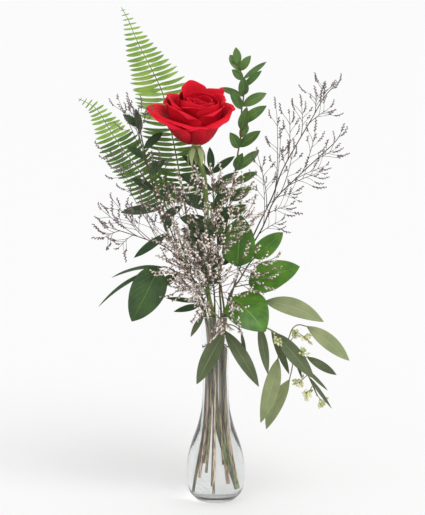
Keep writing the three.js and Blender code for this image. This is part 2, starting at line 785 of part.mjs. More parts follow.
const FLOWER_PLACES = [0.34, 0.54, 0.74, 0.94];
const FLOWER_WIDTH = 2.8;
const FLOWER_ROOM = 1.5;
const FLOWER_LEAN = 0.95;
const FLOWER_TURN = 0.5;
const ROOM_RADII = [1, 2];
const STALK_SHORTEST = 7;
const STALK_LONGEST = 13;
const STALK_FOOT = 0.55;
const SPRAY = 0.8;
const TWIG_HALF_WIDTH = 0.45;
const WIDEST_FOOT = 1.2;
const BRANCH_START = 0.14;
const BRANCH_BOW = 0.25;
const BRANCH_TURN = 1.2;
const BRANCH_LEAN = 0.8;
const SPRAY_FACE = new THREE.Vector3(0, -1, 0.1);

// Park and Miller's repeatable draws, from 0 to 1.
function drawsFrom(seed) {
  let state = seed;
  return () => {
    state = (state * 16807) % 2147483647;
    return state / 2147483647;
  };
}

const acrossAt = (run, t, face) => face.clone().cross(run.getTangent(t)).normalize();

// A strip of a branching sheet: it starts at two points of the net, one for either edge, and
// follows a curve to its end. Each shoot leaves it at a share t of the curve, on one side, from a
// foot with a half length, and grows from the two points of that foot. A knot is only bent at.
function addStrip(net, roots, run, halfWidth, face, shoots) {
  const edge = (t, side) => {
    const across = acrossAt(run, t, face);
    return net.points.push(run.getPoint(t).addScaledVector(across, side * halfWidth(t))) - 1;
  };
  const left = [[0, roots[0]]];
  const right = [[0, roots[1]]];
  for (const { t, side, foot, grow } of shoots) {
    if (!grow) {
      left.push([t, edge(t, -1)]);
      right.push([t, edge(t, 1)]);
      continue;
    }
    const half = foot / run.getLength();
    const low = edge(t - half, side);
    const high = edge(t + half, side);
    (side > 0 ? right : left).push([t - half, low], [t + half, high]);
    grow(side > 0 ? [high, low] : [low, high]);
  }
  left.push([1, edge(1, -1)]);
  right.push([1, edge(1, 1)]);
  let [i, j] = [0, 0];
  while (i < left.length - 1 || j < right.length - 1) {
    const rightIsDone = j === right.length - 1;
    const leftIsNext = rightIsDone || (i < left.length - 1 && left[i + 1][0] < right[j + 1][0]);
    const [a, b] = [left[i][1], right[j][1]];
    net.triangles.push([a, b, leftIsNext ? left[++i][1] : right[++j][1]]);
  }
}

// The flowers of a branch, in turn on either side, each on a stalk that widens to its end. One
// that has no room beside the obstacles is left out.
function flowerShoots(net, run, face, draw, obstacles) {
  const shoots = [];
  FLOWER_PLACES.forEach((t, k) => {
    const side = k % 2 ? 1 : -1;
    const root = run.getPoint(t);
    const way = run.getTangent(t).addScaledVector(acrossAt(run, t, face), side * FLOWER_LEAN);
    way.addScaledVector(face, FLOWER_TURN * (draw() - 0.5)).normalize();
    const length = THREE.MathUtils.lerp(STALK_SHORTEST, STALK_LONGEST, draw());
    const end = root.clone().addScaledVector(way, length);
    const beyond = end.clone().addScaledVector(way, FLOWER_ROOM);
    const room = rod([root, beyond], tapered(...ROOM_RADII), STEM_SIDES);
    if (!obstacles.every((other) => room.intersect(other).isEmpty())) return;
    const stalk = new THREE.LineCurve3(root, end);
    const widening = tapered(STALK_FOOT, FLOWER_WIDTH / 2);
    const grow = (roots) => addStrip(net, roots, stalk, widening, face, []);
    shoots.push({ t, side, foot: STALK_FOOT, grow });
  });
  return shoots;
}

function branchShoot(net, main, t, tip, draw, obstacles) {
  const root = main.getPoint(t);
  const reach = vector(tip).sub(root);
  const bow = root
    .clone()
    .addScaledVector(main.getTangent(t), BRANCH_START * reach.length())
    .addScaledVector(reach, BRANCH_BOW);
  const run = new THREE.QuadraticBezierCurve3(root, bow, vector(tip));
  const face = new THREE.Vector3(BRANCH_TURN * (draw() - 0.5), -1, BRANCH_LEAN * (draw() - 0.5));
  face.projectOnPlane(reach.normalize()).normalize();
  const shoots = () => flowerShoots(net, run, face, draw, obstacles);
  const side = reach.dot(acrossAt(main, t, SPRAY_FACE)) > 0 ? 1 : -1;
  const slant = Math.sin(run.getTangent(0).angleTo(main.getTangent(t)));
  const foot = Math.min(WIDEST_FOOT, TWIG_HALF_WIDTH / slant);
  const width = tapered(TWIG_HALF_WIDTH, TWIG_HALF_WIDTH);
  return { t, side, foot, grow: (roots) => addStrip(net, roots, run, width, face, shoots()) };
}

// A main stem of a spray from the start of its branching part: its branches, forks, and a knot
// half way between each two.
function addMain(net, roots, points, spray, obstacles) {
  const draw = drawsFrom(spray.seed);
  const main = smoothCurve(points);
  const share = (place) => place / (points.length - 1);
  const shoots = spray.branches.map(([place, tip]) =>
    branchShoot(net, main, share(place), tip, draw, obstacles),
  );
  for (const fork of spray.forks ?? []) {
    const t = share(fork.place);
    const forkPoints = [main.getPoint(t), ...fork.free.map(vector)];
    const way = forkPoints[1].clone().sub(forkPoints[0]);
    const side = way.dot(acrossAt(main, t, SPRAY_FACE)) > 0 ? 1 : -1;
    const grow = (forkRoots) => addMain(net, forkRoots, forkPoints, fork, obstacles);
    shoots.push({ t, side, foot: MAIN_RADIUS, grow });
  }
  shoots.sort((a, b) => a.t - b.t);
  const knots = shoots.slice(1).map((shoot, k) => ({ t: (shoot.t + shoots[k].t) / 2 }));
  const all = [...shoots, ...knots].sort((a, b) => a.t - b.t);
  addStrip(net, roots, main, tapered(MAIN_RADIUS, TWIG_HALF_WIDTH), SPRAY_FACE, all);
}

// The stem runs a little way into the spray, which is one branching sheet.
function lavender(spray, obstacles) {
  const route = thinRoute(spray);
  const first = route.length - spray.free.length;
  const points = route.slice(first);
  const start = points[1].clone().sub(points[0]).normalize();
  const bare = [...route.slice(0, first + 1), points[0].clone().addScaledVector(start, 2)];
  const bareStem = stem(bare, tapered(THIN_STEM_RADIUS, MAIN_RADIUS), STEM_SIDES);
  const across = SPRAY_FACE.clone().cross(start).normalize().multiplyScalar(MAIN_RADIUS);
  const net = { points: [points[0].clone().sub(across), points[0].clone().add(across)], triangles: [] };
  addMain(net, [0, 1], points, spray, obstacles);
  return wholeOf(joined([bareStem, sheet(net.points, net.triangles, SPRAY)]));
}

// ---------------------------------------------------------------- assembly

const rose = roseStemSolid();
const bloom = bloomSolid();
const fernTall = fern(FERN_TALL);
const fernLeft = fern(FERN_LEFT);
const myrtleTall = leafyStem(MYRTLE_TALL);
const myrtleLeft = leafyStem(MYRTLE_LEFT);
const myrtleCentre = leafyStem(MYRTLE_CENTRE);
const salalRight = leafyStem(SALAL_RIGHT);
const salalLeft = leafyStem(SALAL_LEFT);
const eucalyptusNeck = leafyStem(EUCALYPTUS_NECK);
const eucalyptusRight = leafyStem(EUCALYPTUS_RIGHT);
const greenery = [
  rose, bloom, fernTall, fernLeft, myrtleTall, myrtleLeft, myrtleCentre, salalRight, salalLeft,
  eucalyptusNeck, eucalyptusRight,
];
const lavenderRight = lavender(LAVENDER_RIGHT, greenery);
const lavenderLeft = lavender(LAVENDER_LEFT, [...greenery, lavenderRight]);
const lavenderCentre = lavender(LAVENDER_CENTRE, [...greenery, lavenderRight, lavenderLeft]);

const vase = vaseSolid();
const water = waterSolid(holes);

const group = new THREE.Group();

function addMesh(name, solid, color, roughness) {
  const { numProp, numVert, vertProperties, triVerts } = solid.getMesh();
  const positions = new Float32Array(3 * numVert);
  for (let i = 0; i < numVert; i++)
    positions.set(vertProperties.subarray(i * numProp, i * numProp + 3), 3 * i);
  const geometry = new THREE.BufferGeometry();
  geometry.setAttribute("position", new THREE.BufferAttribute(positions, 3));
  geometry.setIndex(new THREE.BufferAttribute(triVerts, 1));
  geometry.computeVertexNormals();
  const material = new THREE.MeshStandardMaterial({ color, roughness, metalness: 0 });
  const mesh = new THREE.Mesh(geometry, material);
  mesh.name = name;
  group.add(mesh);
}

addMesh("vase", vase, 0xe8eeee, 0.05);
addMesh("water", water, 0xdfe9e6, 0.02);
addMesh("rose_stem", rose, 0x7d9a4a, 0.6);
addMesh("rose_bloom", bloom, 0xc80f22, 0.6);
addMesh("fern_tall", fernTall, 0x86b04a, 0.6);
addMesh("fern_left", fernLeft, 0x86b04a, 0.6);
addMesh("myrtle_tall", myrtleTall, 0x35683a, 0.45);
addMesh("myrtle_left", myrtleLeft, 0x2c5230, 0.45);
addMesh("myrtle_centre", myrtleCentre, 0x2c5230, 0.45);
addMesh("salal_right", salalRight, 0x3f7a33, 0.4);
addMesh("salal_left", salalLeft, 0x356a2f, 0.4);
addMesh("eucalyptus_neck", eucalyptusNeck, 0x5f7a58, 0.6);
addMesh("eucalyptus_right", eucalyptusRight, 0x7d9068, 0.6);
addMesh("sea_lavender_right", lavenderRight, 0xb7a3b4, 0.8);
addMesh("sea_lavender_left", lavenderLeft, 0xb7a3b4, 0.8);
addMesh("sea_lavender_centre", lavenderCentre, 0xc9bac4, 0.8);

export default group;
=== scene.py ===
import math
import random

import bmesh
import bpy
from mathutils import Matrix, Vector


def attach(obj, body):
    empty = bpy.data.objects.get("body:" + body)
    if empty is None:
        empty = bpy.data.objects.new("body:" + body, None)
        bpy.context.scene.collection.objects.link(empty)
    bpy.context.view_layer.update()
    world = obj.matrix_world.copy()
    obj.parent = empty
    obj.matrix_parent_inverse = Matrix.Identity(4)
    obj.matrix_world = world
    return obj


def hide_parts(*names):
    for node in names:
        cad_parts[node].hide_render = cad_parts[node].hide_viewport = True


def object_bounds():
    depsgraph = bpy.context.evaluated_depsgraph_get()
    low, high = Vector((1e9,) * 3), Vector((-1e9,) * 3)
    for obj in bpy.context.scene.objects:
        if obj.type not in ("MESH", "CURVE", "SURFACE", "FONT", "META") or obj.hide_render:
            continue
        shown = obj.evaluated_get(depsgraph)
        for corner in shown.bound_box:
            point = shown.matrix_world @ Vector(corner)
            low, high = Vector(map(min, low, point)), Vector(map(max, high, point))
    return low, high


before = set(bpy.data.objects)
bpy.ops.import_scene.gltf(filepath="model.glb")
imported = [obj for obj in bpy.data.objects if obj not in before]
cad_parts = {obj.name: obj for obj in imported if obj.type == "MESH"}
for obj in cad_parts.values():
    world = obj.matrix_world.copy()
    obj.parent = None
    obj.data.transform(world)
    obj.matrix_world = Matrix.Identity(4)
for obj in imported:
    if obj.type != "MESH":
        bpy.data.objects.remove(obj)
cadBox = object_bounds()
bpy.ops.object.select_all(action="DESELECT")

mm = 0.001  # the tables below are in millimetres, and the scene in metres


def at(point):
    return Vector(point) * mm


# ---- camera, floor and light

studio = {
    "aimShift": (-1.5, 7.5, 0),  # from the middle of the frame's box
    "distance": 2.0,
    "elevation": 9,
    "lens": 140,
    "farthest": 100,
    "floorSize": 60,
    "floorColour": (0.93, 0.93, 0.93),
    "floorRoughness": 0.8,
    "skyStrength": 0.72,
    "sunStrength": 1.35,
    "sunPlace": (1, -1, 2),
    "sunTurn": (38, 0, 32),
    "sunSoftness": 40,
}


def setCamera():
    aim = (cadBox[0] + cadBox[1]) / 2 + at(studio["aimShift"])
    rise = math.radians(studio["elevation"])
    back = Vector((0, -math.cos(rise), math.sin(rise)))
    bpy.ops.object.camera_add(location=aim + back * studio["distance"])
    camera = bpy.context.object
    camera.name = "camera"
    camera.rotation_euler = (-back).to_track_quat("-Z", "Y").to_euler()
    camera.data.lens = studio["lens"]
    camera.data.clip_end = studio["farthest"]
    bpy.context.scene.camera = camera


def setFloor():
    bpy.ops.mesh.primitive_plane_add(size=studio["floorSize"])
    floor = bpy.context.object
    floor.name = "floor"
    paint = plainMaterial("floorPaint", studio["floorColour"], studio["floorRoughness"])
    floor.data.materials.append(paint)


def setLight():
    world = bpy.data.worlds.new("studioLight")
    world.use_nodes = True
    sky = world.node_tree.nodes["Background"]
    sky.inputs["Strength"].default_value = studio["skyStrength"]
    sky.inputs["Color"].default_value = (1, 1, 1, 1)
    bpy.context.scene.world = world
    turn = [math.radians(a) for a in studio["sunTurn"]]
    bpy.ops.object.light_add(type="SUN", rotation=turn, location=studio["sunPlace"])
    sun = bpy.context.object
    sun.name = "softLight"
    sun.data.energy = studio["sunStrength"]
    sun.data.angle = math.radians(studio["sunSoftness"])
    bpy.context.scene.view_settings.view_transform = "Standard"


# ---- small tools for modelling


def activate(objects):
    bpy.ops.object.select_all(action="DESELECT")
    for obj in objects:
        obj.select_set(True)
    bpy.context.view_layer.objects.active = objects[0]


def joinAll(name, objects):
    activate(objects)
    if len(objects) > 1:
        bpy.ops.object.join()
    joined = bpy.context.object
    joined.name = name
    joined.data.name = name
    return joined


def applyModifiers(obj):
    activate([obj])
    for modifier in list(obj.modifiers):
        bpy.ops.object.modifier_apply(modifier=modifier.name)


def selectWhere(obj, test):
    mesh = bmesh.from_edit_mesh(obj.data)
    bpy.ops.mesh.select_all(action="DESELECT")
    for vertex in mesh.verts:
        vertex.select = test(vertex.co)
    mesh.select_flush(True)
    bmesh.update_edit_mesh(obj.data)


def copyOf(pattern):
    copy = pattern.copy()
    copy.data = pattern.data.copy()
    bpy.context.scene.collection.objects.link(copy)
    return copy


def remove(objects):
    for obj in objects:
        bpy.data.objects.remove(obj)


def finishPiece(piece, node):
    activate([piece])
    bpy.ops.object.shade_smooth()
    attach(piece, "root")
    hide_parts(node)
    print("made", piece.name, len(piece.data.polygons), "faces")


# One mesh of round tubes; each route is its points, and a radius for each in millimetres.
def tubes(name, routes, material, roundness, smoothness):
    bpy.ops.curve.primitive_bezier_curve_add(location=(0, 0, 0))
    obj = bpy.context.object
    curve = obj.data
    curve.splines.clear()
    curve.dimensions = "3D"
    curve.bevel_depth = mm
    curve.bevel_resolution = roundness
    curve.resolution_u = smoothness
    curve.use_fill_caps = True
    curve.materials.append(material)
    for points, radii in routes:
        spline = curve.splines.new("BEZIER")
        spline.bezier_points.add(len(points) - 1)
        for knot, point, radius in zip(spline.bezier_points, points, radii):
            knot.co = point
            knot.radius = radius
            knot.handle_left_type = "AUTO"
            knot.handle_right_type = "AUTO"
    activate([obj])
    bpy.ops.object.convert(target="MESH")
    obj.name = name
    return obj


def tapering(first, last, count):
    return [first + (last - first) * k / (count - 1) for k in range(count)]


# A place on a route, counted in its points, such as 2.5 for half way from 2 to 3
def pointOn(route, place):
    k = min(int(place), len(route) - 2)
    return route[k].lerp(route[k + 1], place - k)


# A smooth line through all points but the first and last, with some steps from each to the next
def curveThrough(points, steps):
    line = []
    for a, b, c, d in zip(points, points[1:], points[2:], points[3:]):
        for i in range(steps):
            t = i / steps
            line.append(0.5 * (2 * b + (c - a) * t
                               + (2 * a - 5 * b + 4 * c - d) * t * t
                               + (3 * b - a - 3 * c + d) * t ** 3))
    return line + [points[-2]]


def smoothRoute(route, steps):
    return curveThrough([2 * route[0] - route[1]] + route + [2 * route[-1] - route[-2]], steps)


# The same line with its points at even distances
def evened(line, count):
    marks = [0.0]
    for a, b in zip(line, line[1:]):
        marks.append(marks[-1] + (b - a).length)
    even = []
    k = 0
    for i in range(count + 1):
        wanted = marks[-1] * i / count
        while k < len(line) - 2 and marks[k + 1] < wanted:
            k += 1
        even.append(line[k].lerp(line[k + 1], (wanted - marks[k]) / (marks[k + 1] - marks[k])))
    return even


def directionAt(route, k):
    return (route[min(k + 1, len(route) - 1)] - route[max(k - 1, 0)]).normalized()


def nearestOn(routes, point):
    best = None
    for route in routes:
        for a, b in zip(route, route[1:]):
            share = max(0, min(1, (point - a).dot(b - a) / (b - a).length_squared))
            foot = a.lerp(b, share)
            if best is None or (foot - point).length < (best - point).length:
                best = foot
    return best


# ---- materials


def plainMaterial(name, colour, roughness, **sockets):
    material = bpy.data.materials.new(name)
    material.use_nodes = True
    shader = material.node_tree.nodes["Principled BSDF"]
    shader.inputs["Base Color"].default_value = (*colour, 1)
    shader.inputs["Roughness"].default_value = roughness
    for socket, value in sockets.items():
        shader.inputs[socket].default_value = value
    return material


class Nodes:
    def __init__(self, material):
        self.tree = material.node_tree
        self.shader = self.tree.nodes["Principled BSDF"]
        self.coordinates = self.tree.nodes.new("ShaderNodeTexCoord")

    def link(self, source, target):
        if hasattr(source, "links"):
            self.tree.links.new(source, target)
        else:
            target.default_value = source

    def math(self, operation, a, b=0.0):
        node = self.tree.nodes.new("ShaderNodeMath")
        node.operation = operation
        self.link(a, node.inputs[0])
        self.link(b, node.inputs[1])
        return node.outputs[0]

    def fade(self, value, low, high, start=0.0, end=1.0):
        node = self.tree.nodes.new("ShaderNodeMapRange")
        node.interpolation_type = "SMOOTHSTEP"
        self.link(value, node.inputs["Value"])
        node.inputs["From Min"].default_value = low
        node.inputs["From Max"].default_value = high
        node.inputs["To Min"].default_value = start
        node.inputs["To Max"].default_value = end
        return node.outputs["Result"]

    def mix(self, share, a, b):
        node = self.tree.nodes.new("ShaderNodeMix")
        node.data_type = "RGBA"
        self.link(share, node.inputs[0])
        self.link(a if hasattr(a, "links") else (*a, 1), node.inputs[6])
        self.link(b if hasattr(b, "links") else (*b, 1), node.inputs[7])
        return node.outputs[2]

    def noise(self, size, detail=3.0, coordinates="Object", stretch=(1, 1, 1)):
        mapping = self.tree.nodes.new("ShaderNodeMapping")
        mapping.inputs["Scale"].default_value = stretch
        self.tree.links.new(self.coordinates.outputs[coordinates], mapping.inputs["Vector"])
        node = self.tree.nodes.new("ShaderNodeTexNoise")
        node.inputs["Scale"].default_value = 1 / size
        node.inputs["Detail"].default_value = detail
        self.tree.links.new(mapping.outputs["Vector"], node.inputs["Vector"])
        return node.outputs["Fac"]

    def split(self, coordinates):
        node = self.tree.nodes.new("ShaderNodeSeparateXYZ")
        self.tree.links.new(self.coordinates.outputs[coordinates], node.inputs[0])
        return node.outputs

    def colour(self, source):
        self.link(source, self.shader.inputs["Base Color"])

    def roughness(self, source):
        self.link(source, self.shader.inputs["Roughness"])

    def bump(self, height, depth):
        node = self.tree.nodes.new("ShaderNodeBump")
        node.inputs["Distance"].default_value = depth
        node.inputs["Strength"].default_value = 1
        self.link(height, node.inputs["Height"])
        self.tree.links.new(node.outputs["Normal"], self.shader.inputs["Normal"])


# Leaf skin: a green that drifts over the leaf, paler veins, and a bump from both. The UV map
# runs from the root to the tip, and across from edge to edge.
def leafMaterial(name, dark, light, vein, veins=7, slant=0.9, ribWidth=0.035, veinShare=0.35,
                 roughness=0.45, patch=0.018, bump=0.0004):
    material = plainMaterial(name, dark, roughness)
    nodes = Nodes(material)
    along, across = nodes.split("UV")[:2]
    side = nodes.math("ABSOLUTE", nodes.math("SUBTRACT", across, 0.5))
    rib = nodes.fade(side, ribWidth * 0.3, ribWidth, 1, 0)
    lines = nodes.math("SUBTRACT", along, nodes.math("MULTIPLY", side, slant))
    lines = nodes.math("MULTIPLY", lines, veins)
    offLine = nodes.math("ABSOLUTE", nodes.math("SUBTRACT", nodes.math("FRACT", lines), 0.5))
    sideVein = nodes.fade(offLine, 0.02, 0.11, veinShare, 0)
    veinMask = nodes.math("MAXIMUM", rib, sideVein)
    drift = nodes.fade(nodes.noise(patch), 0.3, 0.7)
    skin = nodes.mix(drift, dark, light)
    nodes.colour(nodes.mix(nodes.math("MULTIPLY", veinMask, 0.7), skin, vein))
    nodes.roughness(nodes.fade(nodes.noise(0.006), 0.3, 0.7, roughness - 0.06, roughness + 0.1))
    height = nodes.math("SUBTRACT", nodes.math("MULTIPLY", nodes.noise(0.0025), 0.35), veinMask)
    nodes.bump(height, bump)
    return material


# Stem skin: two colours in long streaks; in the vase a third one, with lines of painted shade
def stemMaterial(name, first, second, roughness=0.55, foot=(0.88, 0.62, 0.46)):
    material = plainMaterial(name, first, roughness)
    nodes = Nodes(material)
    streaks = nodes.fade(nodes.noise(0.004, 4, stretch=(1, 1, 0.12)), 0.35, 0.65)
    skin = nodes.mix(streaks, first, second)
    # in the vase a stem is pale, with painted shade in dark lines along it, as if between thin stems
    lines = nodes.fade(nodes.noise(0.0011, 2, stretch=(1, 1, 0.03)), 0.42, 0.56)
    footWithShadeLines = nodes.mix(lines, [stems["paintedShadeLine"] * part for part in foot], foot)
    height = nodes.split("Object")[2]
    inVase = nodes.fade(height, stems["wetBelow"] * mm, stems["dryAbove"] * mm, 0.95, 0)
    nodes.colour(nodes.mix(inVase, skin, footWithShadeLines))
    nodes.bump(nodes.noise(0.0012, 2, stretch=(1, 1, 0.2)), 0.0002)
    return material


# Flower parts: each small flower takes its own shade from a noise as fine as itself
def floretMaterial(name, first, second, size=0.0035):
    material = plainMaterial(name, first, 0.7)
    nodes = Nodes(material)
    nodes.colour(nodes.mix(nodes.fade(nodes.noise(size, 1), 0.4, 0.6), first, second))
    return material


def petalMaterial():
    material = plainMaterial("petalRed", rose["colour"], 0.6)
    nodes = Nodes(material)
    along, across = nodes.split("UV")[:2]
    # painted shade: each petal darkens towards its foot, deep in the bloom
    body = nodes.mix(nodes.fade(along, 0.3, 0.85), rose["paintedDepthShade"], rose["colour"])
    drift = nodes.fade(nodes.noise(0.02), 0.3, 0.7)
    body = nodes.mix(nodes.math("MULTIPLY", drift, 0.5), body, rose["brightColour"])
    # painted highlight: the lips of the petals turn a lighter red
    rim = nodes.fade(along, 0.88, 1.0)
    nodes.colour(nodes.mix(nodes.math("MULTIPLY", rim, 0.5), body, rose["paintedRimHighlight"]))
    streaks = nodes.noise(0.05, 5, "UV", (0.25, 6, 1))
    nodes.bump(nodes.math("ADD", streaks, nodes.math("MULTIPLY", nodes.noise(0.0015), 0.4)), 0.0003)
    nodes.roughness(nodes.fade(nodes.noise(0.004), 0.3, 0.7, 0.55, 0.75))
    for socket, value in rose["velvet"].items():
        nodes.shader.inputs[socket].default_value = value
    return material


# ---- leaves, all made from a pattern that lies along X from 0 to 1

nearly = 1e-4  # how near a vertex lies to its row


# The outline narrows from its widest place to both ends by the two powers low and high.
def leafShare(low, high, t):
    peak = low / (low + high)
    return t ** low * (1 - t) ** high / (peak ** low * (1 - peak) ** high)


def leafPattern(kind):
    low, high, fold, rows, columns, foot, tip, scallop = leafKinds[kind]
    bpy.ops.mesh.primitive_grid_add(
        x_subdivisions=rows, y_subdivisions=columns, size=1, location=(0.5, 0, 0))
    pattern = bpy.context.object
    pattern.name = kind + "Pattern"
    bpy.ops.object.transform_apply(location=True)
    bpy.ops.object.mode_set(mode="EDIT")
    for j in range(columns + 1):  # fold along the rib
        y = j / columns - 0.5
        selectWhere(pattern, lambda co: abs(co.y - y) < nearly)
        bpy.ops.transform.translate(value=(0, 0, fold * abs(y)))
    for i in range(rows + 1):  # outline, row by row
        t = i / rows
        share = max(leafShare(low, high, t), tip if i else foot)
        if 0 < i < rows:
            share *= 1 + scallop * (-1) ** i
        selectWhere(pattern, lambda co: abs(co.x - t) < nearly)
        bpy.ops.transform.resize(value=(1, share, share), center_override=(t, 0, 0))
    bpy.ops.object.mode_set(mode="OBJECT")
    return pattern


# A copy of the pattern from a root to a tip, with its upper side towards face
def placeLeaf(pattern, root, tip, width, face, arch=0.06, bend=0.0, wave=0.0, phase=0.0):
    leaf = copyOf(pattern)
    along = tip - root
    across = face.cross(along).normalized()
    up = along.cross(across).normalized()
    for vertex in leaf.data.vertices:
        t, u, lift = vertex.co
        bow = 4 * t * (1 - t)
        ripple = wave * width * math.sin(9 * t + 4 * u + phase) * 4 * u * u
        height = along.length * arch * bow + width * lift + ripple
        vertex.co = root + along * t + across * (width * u + bend * bow) + up * height
    return leaf


# Blades get their thickness and roundness together, with another skin underneath.
def thicken(leaves, thickness, materialStep=1):
    solid = leaves.modifiers.new("thickness", "SOLIDIFY")
    solid.thickness = thickness * mm
    solid.offset = 0
    solid.material_offset = materialStep
    smooth = leaves.modifiers.new("roundness", "SUBSURF")
    smooth.levels = 1
    smooth.render_levels = 1
    applyModifiers(leaves)
    return leaves


# each kind: the two powers of its outline, fold, rows, columns, share at foot and tip, scallop
leafKinds = {
    "myrtle": (0.7, 0.75, 0.3, 7, 4, 0.1, 0.03, 0),
    "salal": (0.5, 0.75, 0.16, 12, 8, 0.1, 0.02, 0),
    "eucalyptus": (0.75, 0.9, 0.16, 10, 4, 0.08, 0.02, 0),
    "leaflet": (0.22, 0.5, 0.25, 8, 2, 0.5, 0.1, 0.06),
    "sepal": (0.3, 1.0, 0.3, 6, 2, 0.6, 0.06, 0),
}


# ---- stems in the vase: spread in the bulb, gathered in the neck

stems = {
    "radius": 1.25,
    # how far out a stem stands, as (height, distance from the middle)
    "spread": [(8, 17.5), (30, 14.5), (62, 10.2), (95, 7.8), (160, 7.8), (189, 11.5)],
    "leastStep": 6,  # from the cut end to the first bend
    "wetBelow": 150,
    "dryAbove": 200,
    # the dark lines are painted shade between what look like several thin stems
    "paintedShadeLine": 0.22,  # the dark lines' share of the foot colour
}


def stemRoute(plan):
    turn = math.radians(plan["azimuth"])
    cut = plan["cut"]

    def place(height, radius):
        return at((radius * math.cos(turn), radius * math.sin(turn), height))

    spread = stems["spread"]
    above = [step for step in spread if step[0] > cut + stems["leastStep"]]
    z0, r0 = spread[spread.index(above[0]) - 1]
    z1, r1 = above[0]
    foot = r0 + (r1 - r0) * (cut - z0) / (z1 - z0)
    inside = [place(cut, foot)] + [place(z, r) for z, r in above]
    return inside + [at(p) for p in plan["free"]]


# ---- vase and water

vase = {
    "outside": [
        (20, 0), (26.3, 7), (29.2, 17), (29.6, 28), (28.3, 43), (24.4, 58), (18.6, 75), (14.1, 95),
        (12.9, 120), (13.4, 150), (15.2, 178), (17.5, 189),
    ],
    "wall": 2.4,
    "floor": 6,
    "floorCorner": [(19, 0), (24.6, 4)],  # where the floor turns up, above its height
    "height": 190,
    "waterLevel": 158,
    "waterSunk": 0.5,  # how far the water reaches into the glass, so that no air shows between them
    "meniscus": 0.4,
    "meniscusReach": [(1.2, 0.4), (2.6, 0)],  # inwards from the wall, with its share of the rise
    "sides": 96,
    "steps": 6,
    "rimSteps": 8,
    "glassBend": 1.48,
    "waterBend": 1.333,
    "glassColour": (0.965, 0.975, 0.97),
    "waterColour": (0.955, 0.965, 0.96),
}


# A smooth line of (radius, height) through the given ones
def smoothProfile(points, steps):
    return curveThrough([Vector(p) for p in [points[0], *points, points[-1]]], steps)


# A disc is drawn up ring by ring, as on a wheel: rings are (radius, height) from the base on.
def turned(name, rings, material, sides):
    bpy.ops.mesh.primitive_circle_add(
        vertices=sides, radius=rings[0][0] * mm, fill_type="NGON", location=(0, 0, rings[0][1] * mm))
    obj = bpy.context.object
    bpy.ops.object.transform_apply(location=True)
    bpy.ops.object.mode_set(mode="EDIT")
    for (r0, z0), (r1, z1) in zip(rings, rings[1:]):
        bpy.ops.mesh.extrude_region_move(TRANSFORM_OT_translate={"value": (0, 0, (z1 - z0) * mm)})
        bpy.ops.transform.resize(value=(r1 / r0, r1 / r0, 1), center_override=(0, 0, z1 * mm))
    bpy.ops.mesh.poke()
    bpy.ops.mesh.select_all(action="SELECT")
    bpy.ops.mesh.normals_make_consistent(inside=False)
    bpy.ops.object.mode_set(mode="OBJECT")
    obj.name = name
    obj.data.materials.append(material)
    return obj


def insideProfile():
    wall = [(r - vase["wall"], z) for r, z in vase["outside"][2:]]
    return [(r, vase["floor"] + z) for r, z in vase["floorCorner"]] + wall


def clearMaterial(name, colour, bend):
    material = plainMaterial(name, colour, 0.0, IOR=bend)
    shader = material.node_tree.nodes["Principled BSDF"]
    shader.inputs["Transmission Weight"].default_value = 1
    return material


# Clear pieces cast no shadow, so the light comes through them to the stems.
def finishClear(piece, node):
    piece.visible_shadow = False
    finishPiece(piece, node)


def makeVase():
    outside = smoothProfile(vase["outside"], vase["steps"])
    inside = smoothProfile(insideProfile(), vase["steps"])
    half = vase["wall"] / 2
    lip = outside[-1].x - half
    rim = []
    for k in range(1, vase["rimSteps"]):
        turn = math.pi * k / vase["rimSteps"]
        rim.append(Vector((lip + math.cos(turn) * half, vase["height"] - half + math.sin(turn) * half)))
    base = [Vector((2, 0)), Vector((12, 0))]
    rings = base + outside + rim + inside[::-1] + [Vector((8, vase["floor"]))]
    glass = clearMaterial("clearGlass", vase["glassColour"], vase["glassBend"])
    finishClear(turned("glassVase", rings, glass, vase["sides"]), "vase")


def makeWater():
    sunk, level, rise = vase["waterSunk"], vase["waterLevel"], vase["meniscus"]
    wall = [p for p in smoothProfile(insideProfile(), vase["steps"]) if p.y < level]
    wall = [Vector((p.x + sunk, p.y)) for p in wall]
    wall[0].y -= sunk
    edge = wall[-1].x
    top = [Vector((edge, level + rise))]
    top += [Vector((edge - reach, level + rise * share)) for reach, share in vase["meniscusReach"]]
    rings = [Vector((2, wall[0].y)), Vector((10, wall[0].y))] + wall + top + [Vector((3, level))]
    water = clearMaterial("vaseWater", vase["waterColour"], vase["waterBend"])
    finishClear(turned("waterInVase", rings, water, vase["sides"]), "water")


# ---- rose

